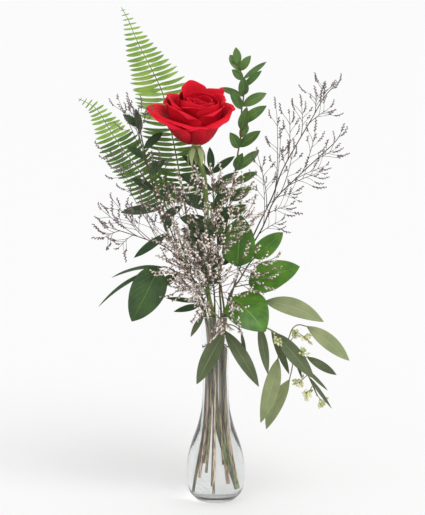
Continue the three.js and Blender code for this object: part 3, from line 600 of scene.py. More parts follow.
rose = {
    "base": (-19, -9, 361),
    "tilt": 9,
    "lean": 4,
    "colour": (0.66, 0.003, 0.016),
    # the dark red painted as shade deep between the petals
    "paintedDepthShade": (0.24, 0.0, 0.004),
    "brightColour": (0.88, 0.006, 0.03),
    # the lighter red painted on the petal lips as highlight
    "paintedRimHighlight": (0.9, 0.02, 0.06),
    "velvet": {
        "Specular IOR Level": 0.15,
        "Sheen Weight": 0.06,
        "Sheen Roughness": 0.4,
        "Sheen Tint": (1, 0.1, 0.2, 1),
        "Subsurface Weight": 0.06,
        "Subsurface Radius": (0.004, 0.0004, 0.0004),
        "Subsurface Scale": 1,
    },
    "petalThickness": 0.45,
    "seed": 4,
    # how petals run from foot to lip, as shares of the lip's radius and height
    "runs": {
        "bud": [(0.25, 0.2), (0.85, 0.45), (1.06, 0.7), (1.03, 0.9), (0.97, 1.0)],
        "middle": [(0.2, 0.12), (0.7, 0.34), (0.9, 0.6), (0.92, 0.84), (1.0, 0.98), (1.1, 1.0)],
        "outer": [
            (0.12, 0.05), (0.4, 0.15), (0.58, 0.38), (0.75, 0.7), (0.91, 0.95), (1.05, 1.0), (1.13, 0.93),
        ],
    },
    # how much the top of a petal narrows, how pointed it is, and how far one side is tucked in
    "topNarrowing": {"bud": 0.08, "middle": 0.16, "outer": 0.24},
    "topRoundness": {"bud": 1.6, "middle": 1.3, "outer": 1.0},
    "tuck": {"bud": 1.6, "middle": 2.4, "outer": 3.0},
    "footSpread": 0.2,
    "topFrom": 0.6,  # where along a petal its top begins, which is rounded off
    "topRounding": 0.8,
    "ripple": 0.12,
    # each petal: run, turn, half angle, radius and height of its lip, fall of its corners, slope
    "petals": [
        ("bud", 20, 130, 3.5, 44, 1.0, 0), ("bud", 160, 125, 6.0, 46, 1.2, 0),
        ("bud", 290, 120, 8.5, 46, 1.5, 0), ("bud", 55, 110, 11.0, 48, 1.8, 0),
        ("bud", 190, 105, 13.0, 47, 2.0, 0), ("bud", 315, 100, 15.5, 46, 2.0, 0),
        ("bud", 85, 92, 17.0, 50, 2.5, 0), ("bud", 225, 86, 19.0, 47, 2.5, 0),
        ("bud", 345, 84, 20.0, 46, 3.0, 0), ("bud", 130, 78, 21.5, 52, 3.0, 0),
        ("middle", 266, 62, 22.5, 43, 2.0, 0), ("middle", 30, 60, 22.0, 50, 5.0, 0),
        ("outer", 113, 44, 24.0, 59, 10.0, 0), ("middle", 186, 56, 29.0, 47, 6.0, -3),
        ("middle", 325, 58, 25.0, 42, 4.0, 3), ("outer", 62, 48, 25.0, 53, 6.0, -4),
        ("middle", 228, 50, 31.0, 41, 6.0, -5), ("outer", 326, 54, 33.0, 36, 5.0, 8),
        ("outer", 180, 50, 46.0, 34, 9.0, -1), ("outer", 140, 56, 36.0, 43, 8.0, 0),
        ("outer", 236, 56, 36.0, 29, 5.0, -3), ("outer", 284, 54, 31.0, 27, 5.0, 2),
        ("outer", 34, 58, 31.0, 41, 7.0, 0), ("outer", 212, 46, 42.0, 30, 5.0, -5),
    ],
    # what the petals grow from, as (radius, height)
    "receptacle": [(4.8, 0), (5.6, 1.2), (6.6, 3), (5.5, 9), (2, 12)],
    "stem": [
        (17, -1, 12), (11, -1, 34), (4, 0, 62), (0, 0, 95), (-1, 0, 160), (-4, -1, 192), (-8, -3, 215),
        (-9, -4, 275), (-10, -5, 312), (-13, -6, 336),
    ],
    "stemRadius": 2.4,
    "hipRadii": [2.6, 4.4, 4.9],
    "hipDepths": [-9, -4, -0.3],
    "sepals": 5,
    "sepalTurn": 20,
    "sepalRoot": (3.5, 2),  # out from the neck, and down
    "sepalTip": (8, 21),
    "sepalWidth": 7,
    "sepalThickness": 0.5,
}


def bloomMatrix():
    lean = Matrix.Rotation(math.radians(rose["lean"]), 4, "Y")
    tilt = Matrix.Rotation(math.radians(rose["tilt"]), 4, "X")
    return Matrix.Translation(at(rose["base"])) @ lean @ tilt


def makePetal(pattern, plan, rng):
    run, azimuth, half, lipRadius, lipHeight, fall, slope = plan
    petal = copyOf(pattern)
    line = smoothProfile([(r * lipRadius, z * lipHeight) for r, z in rose["runs"][run]], 8)
    narrow, roundness = rose["topNarrowing"][run], rose["topRoundness"][run]
    tuck, topFrom = rose["tuck"][run], rose["topFrom"]
    ripple = rng.uniform(0, math.tau)
    for vertex in petal.data.vertices:
        t, u = vertex.co.x, vertex.co.y * 2
        reach = t * (1 - narrow * abs(u) ** roundness)
        place = max(0.0, min(1.0, reach)) * (len(line) - 1)
        radius, height = pointOn(line, place)
        late = max(0.0, (t - topFrom) / (1 - topFrom))
        foot = rose["footSpread"]
        spread = foot + (1 - foot) * math.sin(math.pi / 2 * min(1, t / topFrom))
        spread *= math.sqrt(1 - rose["topRounding"] * late ** 2)
        turn = math.radians(azimuth + half * u * spread)
        corner = late ** 2 * abs(u) ** 1.6
        wave = rose["ripple"] * fall * late
        radius += 0.45 * fall * corner - tuck * u * t
        height += slope * u * t - 0.6 * fall * corner
        height += wave * math.sin(4.3 * u + ripple)
        radius += wave * math.sin(6.1 * u + ripple * 2)
        vertex.co = at((radius * math.cos(turn), radius * math.sin(turn), height))
    return petal


def makeBloom(calyx):
    rng = random.Random(rose["seed"])
    bpy.ops.mesh.primitive_grid_add(x_subdivisions=14, y_subdivisions=12, size=1, location=(0.5, 0, 0))
    pattern = bpy.context.object
    bpy.ops.object.transform_apply(location=True)
    pattern.data.materials.append(petalMaterial())
    petals = [makePetal(pattern, plan, rng) for plan in rose["petals"]]
    remove([pattern])
    bloom = joinAll("roseBloom", petals)
    thicken(bloom, rose["petalThickness"], 0)
    bloom = joinAll("roseBloom", [bloom, turned("receptacle", rose["receptacle"], calyx, 24)])
    bloom.data.transform(bloomMatrix())
    finishPiece(bloom, "rose_bloom")


def makeRoseStem(calyx):
    skin = stemMaterial(
        "roseStemSkin", (0.10, 0.17, 0.035), (0.20, 0.27, 0.05), foot=(0.26, 0.32, 0.12))
    hip = [bloomMatrix() @ at((0, 0, z)) for z in rose["hipDepths"]]
    neck = hip[-1]
    route = [at(p) for p in rose["stem"]]
    radii = [rose["stemRadius"]] * len(route) + rose["hipRadii"]
    parts = [tubes("roseStem", [(route + hip, radii)], skin, 4, 8)]
    pattern = leafPattern("sepal")
    pattern.data.materials.append(calyx)
    for k in range(rose["sepals"]):
        angle = math.radians(rose["sepalTurn"] + 360 / rose["sepals"] * k)
        out = Vector((math.cos(angle), math.sin(angle), 0))
        root, tip = [neck + out * reach * mm - Vector((0, 0, drop * mm))
                     for reach, drop in (rose["sepalRoot"], rose["sepalTip"])]
        parts.append(placeLeaf(pattern, root, tip, rose["sepalWidth"] * mm, out, 0.1))
    remove([pattern])
    sepals = thicken(joinAll("sepals", parts[1:]), rose["sepalThickness"], 0)
    finishPiece(joinAll("roseStemAndCalyx", [parts[0], sepals]), "rose_stem")


# ---- ferns

fern = {
    "steps": 12,
    "points": 120,
    "lastPair": 0.985,  # how far up the leafy part the last pair stands
    "taperFrom": 0.45,  # the share of the leafy part, from the tip, over which leaflets get longer
    "shortest": 2.5,
    "bend": 0.05,
    "widest": 0.3,  # as a share of a leaflet's length
    "thickness": 0.35,
    "ribRadii": (0.9, 0.3),
    "ribStep": 6,
}
fernTall = {
    "azimuth": 96, "cut": 12, "pairs": 40, "longest": 26, "width": 4.3,
    "shaded": 0.42, "face": (0, -1, 0.15), "droop": 0.08,
    "sweeps": [(0.1, -0.2), (0.35, 0.25)],  # at the foot and at the tip, on either side
    "free": [(-16, 20, 221), (-25, 28, 260)],
    "leafy": [
        (-32, 36, 300), (-38, 40, 335), (-45, 43, 370), (-52, 44, 403), (-59, 44, 421), (-69, 42, 441),
        (-79, 40, 461), (-87, 37, 481), (-94, 35, 494),
    ],
}
fernLeft = {
    "azimuth": 126, "cut": 34, "pairs": 30, "longest": 19, "width": 4.2,
    "shaded": 0.62, "face": (0.1, -1, 0.2), "droop": 0.15,
    "sweeps": [(0.1, -0.25), (0.3, 0.2)],
    "free": [(-23, 15, 222), (-36, 22, 261)],
    "leafy": [
        (-51, 26, 296), (-66, 28, 316), (-81, 28, 337), (-94, 28, 354), (-106, 27, 372), (-117, 25, 391),
        (-125, 24, 398), (-137, 22, 404),
    ],
}


def makeFern(name, plan, node, stemSkin, seed):
    rng = random.Random(seed)
    bare = stemRoute(plan)
    leafy = evened(smoothRoute([at(p) for p in plan["leafy"]], fern["steps"]), fern["points"])
    pattern = leafPattern("leaflet")
    pattern.data.materials.append(skins["fernTop"])
    pattern.data.materials.append(skins["fernUnder"])
    face = Vector(plan["face"])
    leaflets = []
    for i in range(plan["pairs"]):
        share = i / (plan["pairs"] - 1)
        place = fern["lastPair"] * share * (len(leafy) - 1)
        root = pointOn(leafy, place)
        along = directionAt(leafy, int(place))
        across = face.cross(along).normalized()
        up = along.cross(across)
        full = min(1, (1 - share) / fern["taperFrom"])
        length = (plan["longest"] * full + fern["shortest"]) * mm
        for side, (first, last) in zip((-1, 1), plan["sweeps"]):
            sweep = first + (last - first) * share + rng.uniform(-0.05, 0.05)
            reach = length * rng.uniform(0.94, 1.06)
            out = across * side + along * sweep
            tip = root + out * reach - up * plan["droop"] * reach * rng.uniform(0.3, 1.8)
            width = min(plan["width"] * rng.uniform(0.9, 1.1) * mm, fern["widest"] * reach)
            leafFace = face + along * rng.uniform(-0.3, 0.3)
            bend = fern["bend"] * reach * side
            leaflet = placeLeaf(pattern, root, tip, width, leafFace, rng.uniform(0.02, 0.08), bend)
            # the lower leaflets take a darker copy of the skin: painted shade
            if share < plan["shaded"] + rng.uniform(-0.06, 0.06):
                leaflet.data.materials[0] = skins["fernPaintedShade"]
            leaflets.append(leaflet)
    remove([pattern])
    blades = thicken(joinAll("leaflets", leaflets), fern["thickness"])
    rib = leafy[::fern["ribStep"]]
    first, last = fern["ribRadii"]
    radii = tapering(stems["radius"], first, len(bare)) + tapering(first, last, len(rib))
    stalk = tubes("stalk", [(bare + rib, radii)], stemSkin, 2, 4)
    finishPiece(joinAll(name, [blades, stalk]), node)


# ---- leafy stems; each leaf is its root, tip, width, and where it isn't turned to the front, its
# face and side bend

front = (0, -1, 0.3)

myrtleTall = {
    "azimuth": 62, "cut": 14,
    "free": [
        (4, 14, 215), (8, 18, 257), (15, 23, 302), (19, 26, 327), (22, 28, 347), (26, 30, 372),
        (26, 30, 392), (28, 29, 407), (27, 28, 424), (22, 28, 438),
    ],
    "leaves": [
        [(22, 28, 437), (20, 26, 455), 9], [(25, 28, 432), (35, 22, 447), 9],
        [(25, 28, 432), (14, 34, 447), 10], [(27, 28, 423), (16, 22, 433), 9],
        [(27, 28, 423), (51, 36, 440), 6], [(28, 29, 415), (46, 24, 432), 7],
        [(28, 29, 407), (27, 12, 427), 11], [(28, 29, 406), (4, 34, 414), 7],
        [(26, 30, 393), (14, 20, 413), 10], [(27, 30, 396), (51, 30, 409), 11],
        [(26, 30, 379), (51, 24, 397), 11], [(26, 30, 372), (31, 12, 397), 11],
        [(24, 29, 355), (45, 22, 372), 11], [(24, 29, 354), (14, 16, 371), 11],
        [(24, 30, 364), (32, 42, 377), 9], [(20, 27, 333), (27, 12, 351), 10],
        [(20, 27, 331), (44, 36, 351), 10], [(18, 25, 318), (42, 20, 331), 9],
        [(15, 23, 304), (-5, 18, 319), 12], [(15, 23, 302), (36, 16, 316), 12],
        [(12, 21, 286), (-9, 18, 300), 12], [(12, 21, 284), (31, 12, 299), 12],
        [(10, 19, 268), (-11, 14, 282), 12], [(10, 19, 266), (27, 10, 283), 12],
        [(7, 17, 246), (23, 8, 262), 11],
    ],
}
myrtleCentre = {
    "azimuth": 42, "cut": 40,
    "free": [(6, 5, 212), (3, 4, 236), (2, 4, 262), (0, 5, 290), (-3, 6, 315), (-4, 6, 334)],
    "leaves": [
        [(-4, 6, 333), (-6, 2, 358), 8], [(-4, 6, 331), (19, 0, 349), 8],
        [(-4, 6, 329), (-34, 10, 349), 10], [(-3, 6, 316), (23, 1, 333), 9],
        [(-3, 6, 314), (-36, 10, 329), 11], [(-1, 5, 298), (17, -1, 318), 13],
        [(-1, 5, 296), (-36, 10, 307), 14], [(1, 4, 279), (16, -2, 300), 13],
        [(1, 4, 277), (-36, 10, 286), 15], [(2, 4, 260), (18, -3, 276), 12],
        [(2, 4, 258), (-34, 9, 264), 14], [(3, 4, 240), (19, -3, 254), 12],
        [(3, 4, 238), (-18, 7, 242), 12], [(4, 5, 222), (-13, 5, 226), 10],
        [(2, 4, 268), (-35, 7, 275), 12], [(2, 4, 249), (-31, 6, 252), 12],
        [(3, 5, 230), (-22, 5, 233), 11],
    ],
}
myrtleLeft = {
    "azimuth": 152, "cut": 26,
    "free": [
        (-14, 8, 206), (-26, 10, 230), (-41, 12, 255), (-54, 13, 285), (-63, 13, 318), (-70, 12, 348),
        (-76, 10, 378),
    ],
    "leaves": [
        [(-76, 10, 377), (-92, 5, 390), 8], [(-75, 10, 372), (-79, 2, 396), 8],
        [(-72, 12, 355), (-53, 18, 371), 9], [(-70, 12, 345), (-88, 8, 358), 8],
        [(-66, 13, 330), (-50, 4, 345), 9], [(-62, 13, 314), (-84, 6, 326), 9],
        [(-60, 13, 305), (-40, 8, 318), 9], [(-57, 13, 295), (-95, 5, 292), 10],
        [(-54, 13, 285), (-34, 20, 296), 9], [(-48, 12, 270), (-82, 6, 246), 9],
        [(-50, 12, 274), (-43, 2, 294), 9],
    ],
}
salalRight = {
    "azimuth": 340, "cut": 20,
    "free": [(14, -8, 211), (24, -10, 227), (33, -9, 242), (39, -7, 249)],
    "leaves": [
        [(20, -11, 239), (25, -15, 292), 33], [(38, -7, 248), (67, -3, 273), 19],
        [(33, -13, 222), (83, -24, 242), 31, (0, -0.9, 0.45)],
        [(15, -19, 211), (49, -42, 180), 43, (0, -0.8, 0.6)],
    ],
    "petioles": [
        [(27, -10, 231), (21, -11, 241)], [(19, -9, 219), (27, -11, 221), (36, -14, 223)],
        [(14, -8, 211), (15, -14, 213), (18, -20, 208)],
    ],
}
salalLeft = {
    "azimuth": 180, "cut": 9,
    "free": [(-15, -3, 198), (-25, -8, 215), (-38, -12, 232), (-50, -14, 240), (-57, -15, 239)],
    "leaves": [
        [(-57, -15, 239), (-83, -30, 188), 35, (0.1, -1, 0.1)],
        [(-52, -13, 241), (-104, -8, 228), 9, (0, -0.3, 1)],
        [(-104, -8, 229), (-117, -11, 199), 6, (-1, -0.6, 0.5)],
        [(-39, -11, 232), (-55, -2, 219), 10, (0, -1, 0.2)], [(-18, -4, 203), (-50, -4, 207), 5],
        [(-16, -4, 199), (-42, -15, 195), 7],
    ],
}
eucalyptusNeck = {
    "azimuth": 236, "cut": 30,
    "free": [(-6, -13, 194), (-2, -18, 194.5), (4, -21.5, 189), (9, -23, 181)],
    "leaves": [
        [(9, -23, 177), (-19, -28, 124), 18, (-0.2, -1, 0.2)],
        [(10, -23, 178), (43, -26, 121), 15, (0.3, -1, 0.2)], [(26, -20, 176), (30, -23, 149), 4],
        [(-12, -15, 192), (-25, -18, 170), 7, (-0.6, -1, 0.2)],
    ],
    "petioles": [
        [(8, -23, 184), (9, -23, 174)], [(8, -22, 184), (18, -21, 182), (27, -20, 174)],
        [(-5, -13, 194), (-10, -14.5, 194), (-13, -15.5, 190)],
    ],
}
eucalyptusRight = {
    # leaves of these widths take the darker skin, painted shade
    "azimuth": 300, "cut": 38, "paintedShadeWidths": (4, 8, 9, 10, 16),
    "free": [
        (10, -11.5, 194.5), (16, -13, 194), (26, -14, 189), (46, -15, 181), (64, -15, 171), (75, -15, 163),
        (84, -15, 147), (95, -15, 125), (102, -15, 109),
    ],
    "leaves": [
        [(48, -18, 207), (107, -27, 187), 19, (0, -1, 0.5), 3],
        [(91, -15, 181), (134, -9, 144), 17, (0.3, -1, 0.5)], [(91, -14, 151), (122, 2, 127), 9],
        [(58, -16, 171), (98, -25, 129), 16, (0.2, -1, 0.1)], [(97, -25, 131), (116, -23, 98), 4],
        [(55, -14, 175), (74, -5, 129), 8], [(42, -15, 178), (52, -23, 133), 10],
        [(62, -12, 147), (45, -17, 82), 17, (-0.2, -1, 0.1), 2],
        [(74, -11, 125), (51, -3, 72), 15, (-0.1, -1, 0.1), -2], [(91, -15, 140), (112, -21, 116), 4],
        [(76, -15, 161), (87, -8, 124), 4],
    ],
    "petioles": [
        [(36, -14, 185), (40, -16, 199), (50, -18, 207)], [(72, -15, 166), (80, -15, 181), (92, -15, 180)],
        [(84, -15, 148), (93, -13, 149)], [(62, -15, 172), (63, -13, 158), (62, -12, 143)],
        [(76, -15, 162), (77, -12, 142), (73, -11, 121)],
    ],
    "seeds": [
        [(56, -15, 176), (61, -19, 168)], [(74, -15, 164), (78, -20, 172)],
        [(84, -15, 147), (87, -20, 154)], [(92, -15, 131), (84, -18, 124)],
        [(97, -15, 120), (92, -18, 112)], [(101, -15, 111), (106, -17, 104)],
        [(79, -15, 176), (90, -19, 169)],
    ],
}


leafyStem = {
    "tipRadius": 0.7,
    "stalkRadius": 0.6,
    "thickness": 0.4,
    "broadFrom": 12,  # wider leaves are of the first kind, the others of the last
    "seeds": 14,
    "seedRadius": 1.5,
    "seedReach": (2.6, 7.0),
    "seedStalkRadii": [0.25, 0.25],
    "clusterStalkRadii": [0.45, 0.35],
}


# Leaves are thickened together, and the stem, stalks and seeds are joined to them. The leaf skins
# are the upper one, the one underneath, and a darker upper one of painted shade for the leaves
# whose widths the plan lists as shaded.
def makeLeafyStem(name, plan, node, kinds, leafSkins, stemSkin, seed, arch=0.07, wave=0.0):
    rng = random.Random(seed)
    route = stemRoute(plan)
    routes = [route]
    stalks = [(route, tapering(stems["radius"], leafyStem["tipRadius"], len(route)))]
    for points in plan.get("petioles", []):
        stalk = [at(p) for p in points]
        stalk[0] = nearestOn(routes, stalk[0])
        routes.append(stalk)
        stalks.append((stalk, [leafyStem["stalkRadius"]] * len(stalk)))
    patterns = {kind: leafPattern(kind) for kind in set(kinds)}
    leaves = []
    for row in plan["leaves"]:
        root, tip, width = at(row[0]), at(row[1]), row[2] * mm
        face = Vector(row[3] if len(row) > 3 else front)
        bend = row[4] * mm if len(row) > 4 else 0
        pattern = patterns[kinds[0] if row[2] > leafyStem["broadFrom"] else kinds[-1]]
        leaf = placeLeaf(pattern, nearestOn(routes, root), tip, width, face,
                         arch * rng.uniform(0.6, 1.4), bend, wave, rng.uniform(0, math.tau))
        leaf.data.materials.clear()
        # leaves of the listed widths take the darker upper skin, painted shade
        upper = 2 if row[2] in plan.get("paintedShadeWidths", ()) else 0
        for k in (upper, 1):
            leaf.data.materials.append(skins[leafSkins[k]])
        leaves.append(leaf)
    remove(patterns.values())
    blades = thicken(joinAll("blades", leaves), leafyStem["thickness"])
    parts = [blades, tubes("stems", stalks, stemSkin, 2, 6)]
    if "seeds" in plan:
        parts += makeSeeds(plan["seeds"], routes, stemSkin, rng)
    finishPiece(joinAll(name, parts), node)


def seedPattern():
    seedSkin = floretMaterial("seedSkin", (0.46, 0.50, 0.22), (0.80, 0.78, 0.50), 0.006)
    bpy.ops.mesh.primitive_uv_sphere_add(
        segments=8, ring_count=6, radius=leafyStem["seedRadius"] * mm)
    seed = bpy.context.object
    bpy.ops.object.mode_set(mode="EDIT")
    selectWhere(seed, lambda co: co.z > 0.2 * mm)  # drawn out to a cap
    bpy.ops.transform.resize(value=(0.6, 0.6, 1.6), center_override=(0, 0, 0))
    selectWhere(seed, lambda co: co.z < -1.2 * mm)
    bpy.ops.transform.resize(value=(1, 1, 1.4), center_override=(0, 0, 0))
    bpy.ops.object.mode_set(mode="OBJECT")
    seed.data.materials.append(seedSkin)
    return seed


def makeSeeds(clusters, routes, stalkSkin, rng):
    pattern = seedPattern()
    parts = []
    stalks = []
    for root, end in clusters:
        root, end = nearestOn(routes, at(root)), at(end)
        stalks.append(([root, end], leafyStem["clusterStalkRadii"]))
        way = (end - root).normalized()
        for k in range(leafyStem["seeds"]):
            out = Vector((rng.uniform(-1, 1), rng.uniform(-1, 1), rng.uniform(-1, 1))) + way * 0.8
            out.normalize()
            foot = end - way * rng.uniform(-1, 4) * mm
            middle = foot + out * rng.uniform(*leafyStem["seedReach"]) * mm
            stalks.append(([foot, middle], leafyStem["seedStalkRadii"]))
            seed = copyOf(pattern)
            turn = out.to_track_quat("Z", "Y").to_matrix().to_4x4()
            seed.data.transform(Matrix.Translation(middle) @ turn)
            parts.append(seed)
    remove([pattern])
    parts.append(tubes("seedStalks", stalks, stalkSkin, 1, 1))
    return parts


# ---- sea lavender: main stems, and branches as the place each leaves its stem and its tip

lavenderRight = {
    "azimuth": 22, "cut": 16,
    "free": [
        (20, 7, 222), (28, 7, 246), (42, 5, 278), (56, 4, 307), (66, 4, 334), (80, 3, 360), (95, 2, 386),
        (109, 0, 410), (126, -2, 426),
    ],
    "branches": [
        (2.6, (40, -12, 361)), (3.3, (60, -10, 408)), (4.4, (74, 14, 401)), (5.3, (86, 12, 408)),
        (6.2, (99, -8, 421)), (5.8, (120, -12, 404)), (6.8, (109, 10, 428)),
    ],
    "forks": [{
        "place": 0.9,
        "free": [
            (46, -3, 277), (58, -11, 306), (80, -18, 330), (104, -15, 352), (118, -12, 365),
            (126, -10, 378),
        ],
        "branches": [
            (0.8, (71, -26, 293)), (1.1, (46, -20, 345)), (1.5, (84, -10, 306)), (1.9, (65, -14, 378)),
            (2.1, (88, -25, 320)), (2.3, (79, -28, 370)), (2.6, (112, -6, 338)), (2.9, (118, -26, 347)),
            (3.2, (102, -4, 384)), (3.7, (127, -22, 364)),
        ],
    }],
}
lavenderLeft = {
    "azimuth": 208, "cut": 24,
    "free": [
        (-20, -18, 215), (-32, -24, 245), (-50, -26, 262), (-70, -26, 270), (-92, -24, 277),
        (-112, -24, 283),
    ],
    "branches": [
        (1.3, (-60, -34, 306)), (1.9, (-97, -20, 339)), (2.2, (-76, -34, 312)), (2.6, (-110, -27, 318)),
        (2.9, (-94, -28, 298)), (3.3, (-122, -14, 304)), (3.5, (-104, -24, 254)), (4.1, (-120, -16, 266)),
    ],
    "forks": [{
        "place": 0.3,
        "free": [
            (-35, -24, 254), (-47, -25, 286), (-59, -23, 317), (-69, -19, 347), (-76, -16, 376),
            (-80, -16, 402),
        ],
        "branches": [
            (1.4, (-40, -36, 330)), (2.3, (-109, -25, 347)), (2.7, (-122, -16, 366)),
            (3.1, (-54, -36, 360)), (3.7, (-100, -7, 416)), (4.3, (-88, -5, 408)), (4.8, (-72, -22, 408)),
        ],
    }],
}
lavenderCentre = {
    "azimuth": 264, "cut": 10,
    "free": [
        (-1, -16, 206), (-2, -21, 222), (-4, -30, 252), (-8, -38, 284), (-14, -40, 312), (-18, -40, 336),
    ],
    "branches": [
        (0.15, (12, -54, 186), "few"), (0.3, (34, -54, 206), "few"), (0.45, (-22, -54, 218)),
        (0.55, (24, -56, 220), "few"), (0.65, (-40, -50, 236)), (0.72, (60, -46, 236), "few"),
        (0.8, (-14, -58, 238)), (0.9, (66, -42, 258), "few"), (1, (-54, -46, 258)),
        (1.1, (44, -52, 254), "few"), (1.18, (-26, -56, 260)), (1.27, (-8, -58, 272)),
        (1.35, (-62, -40, 284), "far"), (1.5, (-38, -52, 290)), (1.62, (16, -50, 298), "far"),
        (1.75, (40, -42, 312), "far"), (1.9, (-10, -54, 308), "far"), (2.05, (-60, -36, 322), "far"),
        (2.3, (28, -44, 332), "far"), (2.5, (-38, -42, 336), "far"), (2.9, (6, -40, 342), "far"),
    ],
}

lavender = {
    "florets": (4, 6, 7, 9),  # in the four sizes of spike
    "floretStep": 1.85,
    "floretLength": 2.9,
    "floretFoot": 0.35,
    "mouth": 1.15,
    "spikeTurn": 0.7,
    "endSpike": 14,
    "lineSteps": 6,
    # the radii of each kind of twig at its start and end
    "main": (0.8, 0.4),
    "fork": (0.75, 0.4),
    "branch": (0.42, 0.25),
    "twig": (0.28, 0.2),
    "spike": (0.3, 0.2),
    # how the branches of each spray are furnished: where the twigs start, their number and
    # length, the spikes on each, how far they lean to the front and to the back, their size
    "few": (0.6, 3, (6, 11), 1, 0.0, 0.4, 1.1),
    "far": (0.62, 5, (8, 15), 2, 0.0, 0.5, 1.1),
    "loose": (0.45, 4, (6, 12), 1, -0.3, 0.3, 0.78),
    "dense": (0.3, 6, (10, 19), 3, 0.15, 0.8, 1.15),
}


def twigRadii(kind, points):
    return tapering(*lavender[kind], len(points))


def floretPattern(calyx, corolla):
    length = lavender["floretLength"] * mm
    bpy.ops.mesh.primitive_cone_add(
        vertices=5, radius1=lavender["floretFoot"] * mm, radius2=lavender["mouth"] * mm,
        depth=length, location=(0, 0, length / 2))
    floret = bpy.context.object
    bpy.ops.object.transform_apply(location=True)
    floret.data.materials.append(calyx)
    floret.data.materials.append(corolla)
    bpy.ops.object.mode_set(mode="EDIT")
    selectWhere(floret, lambda co: co.z > length * 0.9)
    floret.active_material_index = 1
    bpy.ops.object.material_slot_assign()
    bpy.ops.mesh.inset(thickness=0.3 * mm)
    bpy.ops.transform.translate(value=(0, 0, -0.6 * mm))
    bpy.ops.object.mode_set(mode="OBJECT")
    return floret


# A spike: a curved stalk with florets close together, in turn on either side
def spikePattern(name, floret, count, twigSkin, rng):
    step = lavender["floretStep"] * mm
    points = []
    here = Vector((0, 0, 0))
    turn = 0.0
    for k in range(count + 3):
        points.append(here.copy())
        here = here + Vector((math.cos(turn), math.sin(turn), 0)) * step
        turn += lavender["spikeTurn"] / count
    parts = [tubes("spikeStalk", [(points, twigRadii("spike", points))], twigSkin, 0, 1)]
    for k in range(count):
        foot = points[k + 2]
        along = directionAt(points, k + 2)
        side = Vector((along.y, -along.x, 0)) * (0.35 + rng.uniform(-0.3, 0.3))
        lift = Vector((0, 0, 1)) * rng.uniform(0.3, 0.7) * (1 if k % 2 else -1)
        way = (along * 0.9 + side + lift).normalized()
        size = rng.uniform(0.85, 1.15) * (1 - 0.3 * k / count)
        one = copyOf(floret)
        turned = way.to_track_quat("Z", "Y").to_matrix().to_4x4()
        one.data.transform(Matrix.Translation(foot) @ turned @ Matrix.Scale(size, 4))
        parts.append(one)
    return joinAll(name, parts)


# A copy of a spike that starts at root, runs along way and curves towards up
def placeSpike(pattern, root, way, up, size):
    spike = copyOf(pattern)
    x = way.normalized()
    z = x.cross(up).normalized()
    y = z.cross(x)
    turn = Matrix((x, y, z)).transposed().to_4x4()
    spike.data.transform(Matrix.Translation(root) @ turn @ Matrix.Scale(size, 4))
    return spike


# A curve from root to tip that starts off along start
def bowed(root, start, tip, steps):
    reach = tip - root
    bow = root + start * 0.14 * reach.length + reach * 0.25
    shares = [k / steps for k in range(steps + 1)]
    return [root.lerp(bow, t).lerp(bow.lerp(tip, t), t) for t in shares]


# Spikes on the outer part of a twig and one at its end
def growSpikes(twig, count, face, size, spikes, parts, rng):
    for k in range(count):
        last = k == count - 1
        place = (len(twig) - 1) * (1 if last else 0.35 + 0.6 * k / count)
        along = directionAt(twig, round(place))
        across = face.cross(along).normalized() * (1 if k % 2 else -1)
        way = along + face * rng.uniform(-0.6, -0.05)
        if not last:
            way += across * rng.uniform(0.5, 1.0)
        up = along + Vector((0, 0, 0.6)) + across * 0.1
        pattern = spikes[int(rng.random() * len(spikes))]
        parts.append(placeSpike(pattern, pointOn(twig, place), way, up, size * rng.uniform(0.85, 1.15)))


# The spikes at the end of a branch reach its tip, so the branch itself is shorter.
def growBranch(root, start, tip, look, spikes, twigs, parts, rng):
    firstTwig, count, lengths, each, toFront, toBack, size = look
    length = (tip - root).length
    tip = root.lerp(tip, 1 - lavender["endSpike"] * mm / length)
    run = bowed(root, start, tip, 8)
    twigs.append((run, twigRadii("branch", run)))
    face = Vector((rng.uniform(-0.4, 0.4), -1, rng.uniform(-0.3, 0.3))).normalized()
    for k in range(count):
        share = firstTwig + (0.96 - firstTwig) * (k + rng.uniform(-0.2, 0.2)) / count
        place = max(0.5, share * (len(run) - 1))
        along = directionAt(run, round(place))
        across = face.cross(along).normalized() * (1 if k % 2 else -1)
        way = along + across * rng.uniform(0.5, 1.1) - face * rng.uniform(toFront, toBack)
        reach = min(rng.uniform(*lengths) * mm, 0.5 * length)
        foot = pointOn(run, place)
        twig = bowed(foot, along, foot + way.normalized() * reach, 4)
        twigs.append((twig, twigRadii("twig", twig)))
        growSpikes(twig, each, face, size, spikes, parts, rng)
    growSpikes(run[-3:], 2, face, size, spikes, parts, rng)


def growStem(points, plan, look, spikes, twigs, parts, rng):
    steps = lavender["lineSteps"]
    line = smoothRoute(points, steps)
    for place, tip, *own in plan["branches"]:
        start = directionAt(line, round(place * steps))
        branchLook = lavender[own[0]] if own else look
        growBranch(pointOn(line, place * steps), start, at(tip), branchLook, spikes, twigs, parts, rng)
    line = line[:-3]
    growSpikes(line[-3:], 2, Vector((0, -1, 0)), look[-1], spikes, parts, rng)
    for fork in plan.get("forks", []):
        foot = pointOn(line, fork["place"] * steps)
        route = [foot] + [at(p) for p in fork["free"]]
        forkLine = growStem(route, fork, look, spikes, twigs, parts, rng)
        twigs.append((forkLine, twigRadii("fork", forkLine)))
    return line


def makeLavender(name, plan, look, node, calyx, corolla, twigSkin, seed):
    rng = random.Random(seed)
    floret = floretPattern(calyx, corolla)
    spikes = [spikePattern(f"spike{n}", floret, n, twigSkin, rng) for n in lavender["florets"]]
    route = stemRoute(plan)
    first = len(route) - len(plan["free"])
    twigs = []
    parts = []
    line = growStem(route[first:], plan, lavender[look], spikes, twigs, parts, rng)
    twigs.append((route[:first] + line, [stems["radius"]] * first + twigRadii("main", line)))
    remove([floret] + spikes)
    parts.append(tubes("twigs", twigs, twigSkin, 1, 2))
    finishPiece(joinAll(name, parts), node)


# ---- everything in turn

